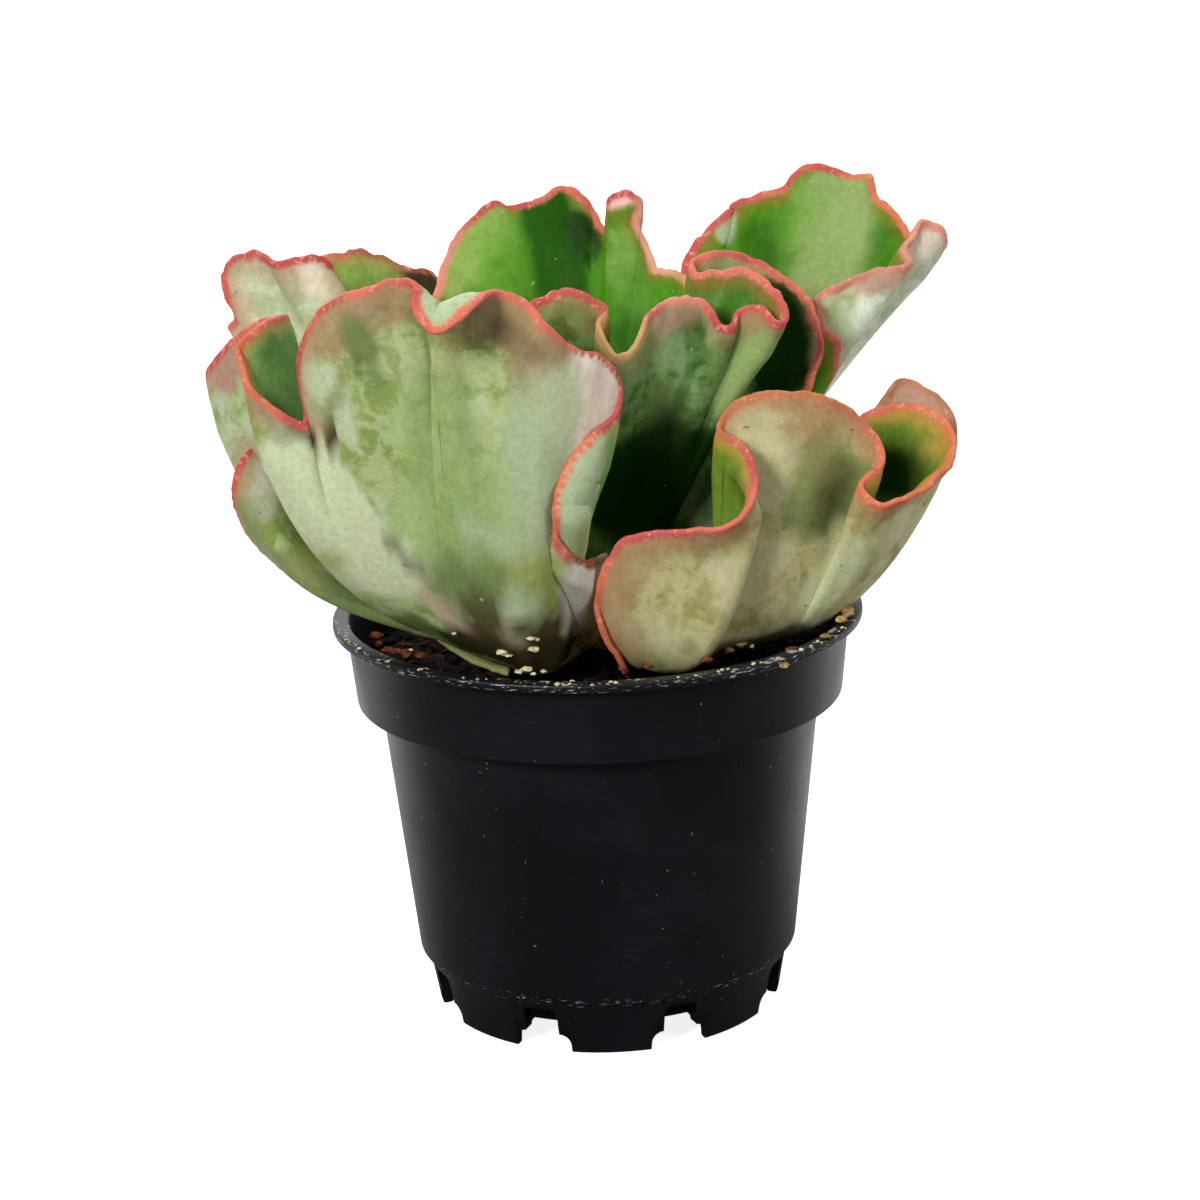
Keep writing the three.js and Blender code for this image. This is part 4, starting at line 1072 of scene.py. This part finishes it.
def rounded_profile(profile, corner, steps=4):
    """The profile with each corner turned into a small arc, as far as its sides leave room."""
    points = np.array(profile, float)
    result = [points[0]]
    for last, here, after in zip(points[:-2], points[1:-1], points[2:]):
        before = np.linalg.norm(here - last)
        behind = np.linalg.norm(after - here)
        cut = min(corner, before * 0.4, behind * 0.4)
        start = here + (last - here) / before * cut
        end = here + (after - here) / behind * cut
        for t in np.linspace(0, 1, steps):
            result.append((1 - t) ** 2 * start + 2 * t * (1 - t) * here + t * t * end)
    result.append(points[-1])
    return result


def level_ring(radius, height, segments):
    """Points at one height round a circle."""
    angle = np.linspace(0, 2 * math.pi, segments, endpoint=False)
    return np.column_stack([radius * np.cos(angle), radius * np.sin(angle), np.full(segments, height)])


def ring_body(name, rings, low_tip, high_tip):
    """A closed body from rings of points, the first one at its low tip and the last one at its high tip."""
    segments = len(rings[0])
    points = np.vstack(rings + [[low_tip], [high_tip]])
    top = (len(rings) - 1) * segments
    low_place, high_place = len(points) - 2, len(points) - 1
    faces = []
    for k in range(segments):
        after = (k + 1) % segments
        for low in range(0, top, segments):
            high = low + segments
            faces.append((high + k, low + k, low + after, high + after))
        faces.append((low_place, after, k))
        faces.append((high_place, top + k, top + after))
    return new_object(name, points, faces)


def pot_profile():
    """Radius and height of the corners, from the floor's underside up the outside and down the inside."""
    return [
        (0, FLOOR_BOTTOM),
        (FOOT_RADIUS - 2 * WALL, FLOOR_BOTTOM),
        (FOOT_RADIUS - 1.7 * WALL, 0),
        (FOOT_RADIUS, 0),
        (FOOT_RADIUS_TOP, STEP_HEIGHT - 0.4),
        BODY_LOW,
        BODY_HIGH,
        BAND_LOW,
        BAND_HIGH,
        (LIP_RADIUS, LIP_BOTTOM),
        (LIP_RADIUS, POT_HEIGHT),
        (BAND_RADIUS_TOP - 0.6, POT_HEIGHT),
        (BAND_RADIUS_TOP - WALL, LIP_BOTTOM - 1),
        (slope_radius(BAND_LOW, BAND_HIGH, LEDGE_TOP) - WALL, LEDGE_TOP),
        (slope_radius(BODY_LOW, BODY_HIGH, LEDGE_TOP) - WALL, LEDGE_TOP),
        (BODY_RADIUS_BOTTOM - WALL, STEP_HEIGHT + 0.8),
        (FOOT_RADIUS_TOP - WALL, STEP_HEIGHT),
        (FOOT_RADIUS_TOP - 1.8 * WALL, FLOOR_TOP),
        (0, FLOOR_TOP),
    ]


def arch_cutter(width, bottom, top, angle):
    """A block with rounded top corners that runs out through the foot at one angle."""
    corner = min(ARCH_CORNER, width / 4, (top - bottom) / 2)
    half = width / 2
    outline = [(-half, bottom), (half, bottom)]
    for start, middle in ((0, half - corner), (math.pi / 2, corner - half)):
        for turn in np.linspace(start, start + math.pi / 2, ARCH_STEPS):
            outline.append((middle + corner * math.cos(turn), top - corner + corner * math.sin(turn)))
    out = np.array([math.cos(angle), math.sin(angle), 0])
    side = np.array([-out[1], out[0], 0])
    up = np.array([0, 0, 1])
    ends = (DRAIN_INNER_RADIUS, FOOT_RADIUS + CUTTER_OVERSHOOT)
    points = [out * radius + side * x + up * z for radius in ends for x, z in outline]
    size = len(outline)
    faces = [tuple(range(size))[::-1], tuple(range(size, 2 * size))]
    faces += [(k, (k + 1) % size, size + (k + 1) % size, size + k) for k in range(size)]
    return new_object("cutter", points, faces, smooth=False)


def cut_away(piece, cutter):
    """Takes the cutter's shape out of the piece, and the cutter out of the scene."""
    modifier = piece.modifiers.new("cut", "BOOLEAN")
    modifier.operation = "DIFFERENCE"
    modifier.solver = "EXACT"
    modifier.object = cutter
    bpy.context.view_layer.update()
    evaluated = piece.evaluated_get(bpy.context.evaluated_depsgraph_get())
    mesh = bpy.data.meshes.new_from_object(evaluated)
    piece.modifiers.remove(modifier)
    old = piece.data
    piece.data = mesh
    bpy.data.meshes.remove(old)
    bpy.data.objects.remove(cutter)


def make_pot():
    profile = rounded_profile(pot_profile(), POT_CORNER)
    rings = [level_ring(radius, height, POT_SEGMENTS) for radius, height in profile[1:-1]]
    pot = ring_body("pot_body", rings, (0, 0, FLOOR_BOTTOM), (0, 0, FLOOR_TOP))
    for k in range(NOTCH_COUNT):
        angle = (k + 0.5) * 2 * math.pi / NOTCH_COUNT
        cut_away(pot, arch_cutter(NOTCH_WIDTH, -1, NOTCH_HEIGHT, angle))
        cut_away(pot, arch_cutter(DRAIN_WIDTH, 2, DRAIN_TOP, angle))
    pot.data.materials.clear()
    pot.data.materials.append(pot_material())
    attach(pot, "root")
    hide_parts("pot")


# Soil

def soil_material():
    shader = Shader("soil", 0.95)
    place = shader.place()
    crumbs = shader.noise(place, 600, 5, 0.7)
    rust = shader.noise(place, 260, 3, 0.6)
    color = shader.mix(shader.step(crumbs, 0.4, 0.7), linear("070504"), linear("130d09"))
    color = shader.mix(shader.step(rust, 0.6, 0.72, 0.0, 0.7), color, linear("3a2110"))
    shader.dress({"Base Color": color, "Specular IOR Level": 0.1})
    shader.bump(crumbs, 0.8, 1 * MM)
    return shader.material


def soil_height(x, y):
    """Height of the soil's surface, with a low mound under the rosette and soil heaped up at the front."""
    radius = math.hypot(x, y)
    front = smooth_step(-y / max(radius, 1), 0.2, 0.75)
    heap = HEAP_HEIGHT * front * smooth_step(radius, HEAP_START, HEAP_FULL)
    mound = MOUND_HEIGHT * math.exp(-((radius / MOUND_RADIUS) ** 2))
    rough = SOIL_ROUGHNESS * noise.fractal(Vector((x * 0.11, y * 0.11, 3.7)), 0.9, 2.1, 4)
    return SOIL_TOP - 0.6 + rough + mound + heap


def soil_rings():
    """Rings from the pot's floor up its wall, then over the top and in to the stem."""
    low_side = LEDGE_TOP + CLEARANCE
    side = [
        (FOOT_RADIUS_TOP - 1.8 * WALL - 2 * CLEARANCE, FLOOR_TOP + CLEARANCE),
        (FOOT_RADIUS_TOP - WALL - 2 * CLEARANCE, STEP_HEIGHT),
        (BODY_RADIUS_BOTTOM - WALL - CLEARANCE, STEP_HEIGHT + 1.2),
        (slope_radius(BODY_LOW, BODY_HIGH, LEDGE_TOP) - WALL - CLEARANCE, low_side),
        (slope_radius(BAND_LOW, BAND_HIGH, low_side) - WALL - CLEARANCE, low_side),
    ]
    rings = [level_ring(radius, height, SOIL_SEGMENTS) for radius, height in side]
    top_radius = slope_radius(BAND_LOW, BAND_HIGH, SOIL_TOP) - WALL - CLEARANCE
    for radius in np.linspace(top_radius, STEM_RADIUS, SOIL_TOP_RINGS):
        ring = level_ring(radius, 0, SOIL_SEGMENTS)
        ring[:, 2] = [soil_height(x, y) for x, y in ring[:, :2]]
        rings.append(ring)
    return rings


def make_soil():
    soil = ring_body("soil_bed", soil_rings(), (0, 0, FLOOR_TOP + CLEARANCE), (0, 0, SOIL_TOP))
    soil.data.materials.append(soil_material())
    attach(soil, "root")
    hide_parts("soil")


# Grains and fibres on the soil

ICO = (1 + math.sqrt(5)) / 2
ICO_POINTS = unit(np.array([
    (-1, ICO, 0), (1, ICO, 0), (-1, -ICO, 0), (1, -ICO, 0), (0, -1, ICO), (0, 1, ICO),
    (0, -1, -ICO), (0, 1, -ICO), (ICO, 0, -1), (ICO, 0, 1), (-ICO, 0, -1), (-ICO, 0, 1),
]))
ICO_FACES = [
    (0, 11, 5), (0, 5, 1), (0, 1, 7), (0, 7, 10), (0, 10, 11), (1, 5, 9), (5, 11, 4), (11, 10, 2),
    (10, 7, 6), (7, 1, 8), (3, 9, 4), (3, 4, 2), (3, 2, 6), (3, 6, 8), (3, 8, 9), (4, 9, 5), (2, 4, 11),
    (6, 2, 10), (8, 6, 7), (9, 8, 1),
]


def finer_ball():
    """The icosahedron with each face split in four and pushed out to the sphere."""
    points = [tuple(p) for p in ICO_POINTS]
    middles = {}

    def middle(a, b):
        key = (min(a, b), max(a, b))
        if key not in middles:
            middles[key] = len(points)
            points.append(tuple(unit((np.array(points[a]) + np.array(points[b])) / 2)))
        return middles[key]

    faces = []
    for a, b, c in ICO_FACES:
        ab, bc, ca = middle(a, b), middle(b, c), middle(c, a)
        faces += [(a, ab, ca), (b, bc, ab), (c, ca, bc), (ab, bc, ca)]
    return np.array(points), faces


BALL_POINTS, BALL_FACES = finer_ball()


def lump(rng, size, place):
    """One rough grain, as wide as its size and a little flatter."""
    wide, long = rng.uniform(0.7, 1.3), rng.uniform(0.7, 1.3)
    tall = rng.uniform(0.5, 1.0) * GRAIN_FLATNESS
    turn = rng.uniform(0, 2 * math.pi)
    rough = 1 + rng.uniform(-0.22, 0.22, (len(BALL_POINTS), 1))
    x, y, z = (BALL_POINTS * rough * np.array([wide, long, tall]) * size / 2).T
    spun = [x * math.cos(turn) - y * math.sin(turn), x * math.sin(turn) + y * math.cos(turn), z]
    return np.column_stack(spun) + np.array(place), BALL_FACES


def polar(radius, angle):
    """The x and y of a place given by its radius and angle."""
    return radius * math.cos(angle), radius * math.sin(angle)


def spot_between(rng, inner, outer):
    """A random x and y between two radii, spread evenly over the area."""
    radius = math.sqrt(rng.uniform(inner**2, outer**2))
    angle = rng.uniform(0, 2 * math.pi)
    return polar(radius, angle)


def scatter(rng, count, smallest, largest):
    """Grains lying on the soil, most of them small."""
    grains = []
    for _ in range(count):
        x, y = spot_between(rng, STEM_RADIUS + 2, GRAIN_REACH)
        size = smallest + (largest - smallest) * rng.uniform() ** 2.5
        grains.append(lump(rng, size, (x, y, soil_height(x, y) + size * 0.12)))
    return grains


def placed(rng, spots):
    """Grains at listed places [x, y, z, size]."""
    return [lump(rng, size, place) for *place, size in spots]


def lip_crumbs(rng, count):
    """Small crumbs along the front of the pot's lip."""
    grains = []
    for _ in range(count):
        radius = LIP_RADIUS - rng.uniform(0.3, 1.5)
        angle = math.radians(rng.uniform(200, 340))
        size = rng.uniform(0.4, 1.0)
        grains.append(lump(rng, size, (*polar(radius, angle), POT_HEIGHT + 0.2 * size)))
    return grains


def fibre(rng):
    """A thin curved fibre that lies on the soil, with a three-sided section."""
    x, y = spot_between(rng, FIBRE_INNER, FIBRE_OUTER)
    heading = rng.uniform(0, 2 * math.pi)
    bend = rng.uniform(-0.35, 0.35)
    length = rng.uniform(3, 11)
    thick = rng.uniform(0.12, 0.3)
    steps = FIBRE_STEPS
    points = []
    for k in range(steps):
        lift = 0.35 + 0.5 * math.sin(math.pi * k / (steps - 1)) * rng.uniform(0.2, 1)
        reach = min(1, FIBRE_REACH / max(math.hypot(x, y), 1e-6))
        centre = np.array([x * reach, y * reach, soil_height(x * reach, y * reach) + lift])
        side = np.array([-math.sin(heading), math.cos(heading), 0])
        wide = thick * math.sin(math.pi * (k + 0.6) / (steps + 0.2))
        points += [centre + side * wide, centre - side * wide, centre + np.array([0, 0, wide * 1.4])]
        x += math.cos(heading) * length / steps
        y += math.sin(heading) * length / steps
        heading += bend
    faces = [(0, 1, 2), (3 * steps - 1, 3 * steps - 2, 3 * steps - 3)]
    for low in range(0, 3 * (steps - 1), 3):
        for here, after in ((0, 1), (1, 2), (2, 0)):
            faces.append((low + here, low + 3 + here, low + 3 + after, low + after))
    return np.array(points), faces


# Grains that the photograph shows in one place: [x, y, z, size]
PERLITE_SPOTS = [
    [-17.8, -39, 83, 2.4], [-16.6, -39.4, 82.4, 1.3], [-12.4, -41, 86, 1.5], [-11.2, -40.6, 85.6, 1],
    [-12, -39.8, 83.6, 1.8], [-13.5, -39.4, 79.6, 2.8], [-14.8, -39.4, 79.2, 1.8], [-12.2, -40.4, 79, 1.4],
    [-10.3, -40, 79.3, 1.2], [-21, -33.5, 80.8, 0.9], [-26.5, -38, 86.5, 0.8], [29, -23, 77.6, 1],
    [-5, -44, 78.5, 1], [4, -45.5, 78.4, 0.9], [14, -45, 78.6, 0.8],
]
GRIT_SPOTS = [
    [26.5, -22, 78, 3.4], [24.5, -25, 77.6, 1.6], [47.5, -13, 80.9, 3.6], [46.5, -17.5, 80.7, 2.6],
    [48.6, -9.5, 80.6, 1.9], [34, -40.3, 79, 1.6], [42.5, -27.5, 80.6, 1.7],
]
RUST_SPOTS = [
    [-44, 3, 74.5, 2.6], [-41, -9, 75, 3], [-37, -15, 76, 2.8], [-39, -12.5, 75.8, 2], [-34, -19.5, 77, 2.2],
    [-43, -4, 74.8, 2], [36, -31, 79, 2.4], [20, -35, 79, 2], [9, -38, 79, 1.8],
]

# Each piece's material: its name, two colours, the scale of their mottle, and the roughness
GRAIN_LOOKS = {
    "soil_crumbs": ("soil_crumbs", "060403", "140d08", 500, 0.95),
    "bark_chips": ("bark_chips", "180d07", "3a2010", 300, 0.85),
    "rust_crumbs": ("rust_crumbs", "4c2612", "7e4824", 900, 0.85),
    "coir_fibres": ("coir_fibres", "2a170a", "54341a", 400, 0.8),
    "perlite_grains": ("perlite", "b5a67c", "e4dab8", 900, 0.75),
    "grit_grains": ("golden_grit", "8a6a34", "d8bd84", 500, 0.8),
}


def grain_material(name, first, second, scale, roughness):
    shader = Shader(name, roughness)
    mottle = shader.noise(shader.place(), scale, 4, 0.6)
    color = shader.mix(shader.step(mottle, 0.4, 0.65), linear(first), linear(second))
    shader.dress({"Base Color": color, "Specular IOR Level": 0.1})
    shader.bump(mottle, 0.5, 0.5 * MM)
    return shader.material


def joined_grains(name, grains):
    """One piece of the soil from many grains or fibres."""
    points, faces, start = [], [], 0
    for grain_points, grain_faces in grains:
        points.append(grain_points)
        faces += [tuple(start + k for k in face) for face in grain_faces]
        start += len(grain_points)
    piece = new_object(name, np.vstack(points), faces, smooth=False)
    piece.data.materials.append(grain_material(*GRAIN_LOOKS[name]))
    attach(piece, "root")


def make_grit():
    rng = np.random.default_rng(GRIT_SEED)
    joined_grains("soil_crumbs", scatter(rng, *DARK_CRUMBS))
    joined_grains("bark_chips", scatter(rng, *BARK_CHIPS))
    joined_grains("rust_crumbs", placed(rng, RUST_SPOTS))
    joined_grains("coir_fibres", [fibre(rng) for _ in range(FIBRE_COUNT)])
    pale = scatter(rng, *PERLITE_GRAINS) + placed(rng, PERLITE_SPOTS) + lip_crumbs(rng, LIP_PERLITE_COUNT)
    joined_grains("perlite_grains", pale)
    joined_grains("grit_grains", placed(rng, GRIT_SPOTS) + lip_crumbs(rng, LIP_GRIT_COUNT))


# Stem

def dress_stem():
    shader = Shader("stem_skin", 0.8)
    mottle = shader.noise(shader.place(), 300, 4, 0.6)
    shader.dress({"Base Color": shader.mix(mottle, linear("4a4a26"), linear("8a8f5a"))})
    shader.bump(mottle, 0.5, 0.6 * MM)
    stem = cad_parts["stem"]
    stem.data.materials.clear()
    stem.data.materials.append(shader.material)


# Stage, light and camera

def make_floor():
    """A white surface to look at, which the plant and the pot see as a dimmer grey one."""
    shader = Shader("floor_paper", 0.9)
    cloud = shader.noise(shader.place(), 3, 2, 0.5)
    shader.dress({
        "Base Color": shader.mix(cloud, linear("d8d8d8"), linear("dcdcdc")),
        "Specular IOR Level": 0.0, "Emission Color": WHITE, "Emission Strength": FLOOR_GLOW,
    })
    axis, start, full, strength = FLOOR_REAR_GLOW
    rear_glow = shader.step(shader.axes(shader.place())[axis], start, full, 0.0, strength)
    dim = shader.fed(shader.new("BsdfPrincipled"), {
        "Base Color": linear(FLOOR_BOUNCE),
        "Specular IOR Level": 0.0, "Emission Color": WHITE, "Emission Strength": rear_glow,
    })
    shader.show(dim[0], shader.surface.outputs[0], "Material Output")
    corners = ((-1, -1), (1, -1), (1, 1), (-1, 1))
    points = [(x * FLOOR_REACH, y * FLOOR_REACH, -FLOOR_DROP) for x, y in corners]
    floor = new_object("floor", points, [(0, 1, 2, 3)], smooth=False)
    floor.data.materials.append(shader.material)


def make_light(name, azimuth, elevation, distance, size, power):
    """A square soft light that aims at the plant."""
    around, up = math.radians(azimuth), math.radians(elevation)
    away = Vector((math.sin(around) * math.cos(up), -math.cos(around) * math.cos(up), math.sin(up)))
    data = bpy.data.lights.new(name, "AREA")
    data.shape = "SQUARE"
    data.size = size
    data.energy = power
    light = bpy.data.objects.new(name, data)
    bpy.context.scene.collection.objects.link(light)
    light.location = Vector(LIGHT_TARGET) + away * distance
    light.rotation_euler = (-away).to_track_quat("-Z", "Y").to_euler()


def make_world():
    """White to look at; as a light it is bright behind and above the plant and dim in front of it."""
    world = bpy.data.worlds.new("white_room")
    world.use_nodes = True
    room = Nodes(world.node_tree)
    axes = room.axes(room.new("TexCoord").outputs["Generated"])
    glow = ROOM_LEAST
    for axis, start, full, strength in ROOM_GLOWS:
        glow = room.plus(glow, room.step(axes[axis], start, full, 0.0, strength))
    lit = room.fed(room.tree.nodes["Background"], {"Color": WHITE, "Strength": glow})
    seen = room.fed(room.new("Background"), {"Color": WHITE})
    room.show(lit[0], seen[0], "World Output")
    bpy.context.scene.world = world


def make_lights():
    for lamp in LAMPS:
        make_light(*lamp)
    make_world()
    bpy.context.scene.view_settings.view_transform = "Standard"


def make_camera():
    forward = Vector((
        math.sin(CAMERA_YAW) * math.cos(CAMERA_PITCH),
        math.cos(CAMERA_YAW) * math.cos(CAMERA_PITCH),
        -math.sin(CAMERA_PITCH),
    ))
    level = Vector((math.cos(CAMERA_YAW), -math.sin(CAMERA_YAW), 0))
    rise = level.cross(forward)
    right = math.cos(CAMERA_ROLL) * level + math.sin(CAMERA_ROLL) * rise
    up = -math.sin(CAMERA_ROLL) * level + math.cos(CAMERA_ROLL) * rise
    data = bpy.data.cameras.new("photo_camera")
    data.sensor_width = SENSOR_MM
    data.lens = SENSOR_MM * FOCAL_PIXELS / PHOTO_PIXELS
    data.clip_start = 0.01
    camera = bpy.data.objects.new("photo_camera", data)
    bpy.context.scene.collection.objects.link(camera)
    turn = Matrix((right, up, -forward)).transposed().to_4x4()
    camera.matrix_world = Matrix.Translation(Vector(CAMERA_PLACE) * MM) @ turn
    bpy.context.scene.camera = camera


leaf_materials = {name: leaf_material("leaf_" + name, look) for name, look in LOOKS.items()}
for leaf in LEAVES:
    make_leaf(leaf, leaf_materials)
make_pot()
make_soil()
make_grit()
dress_stem()
make_floor()
make_lights()
make_camera()
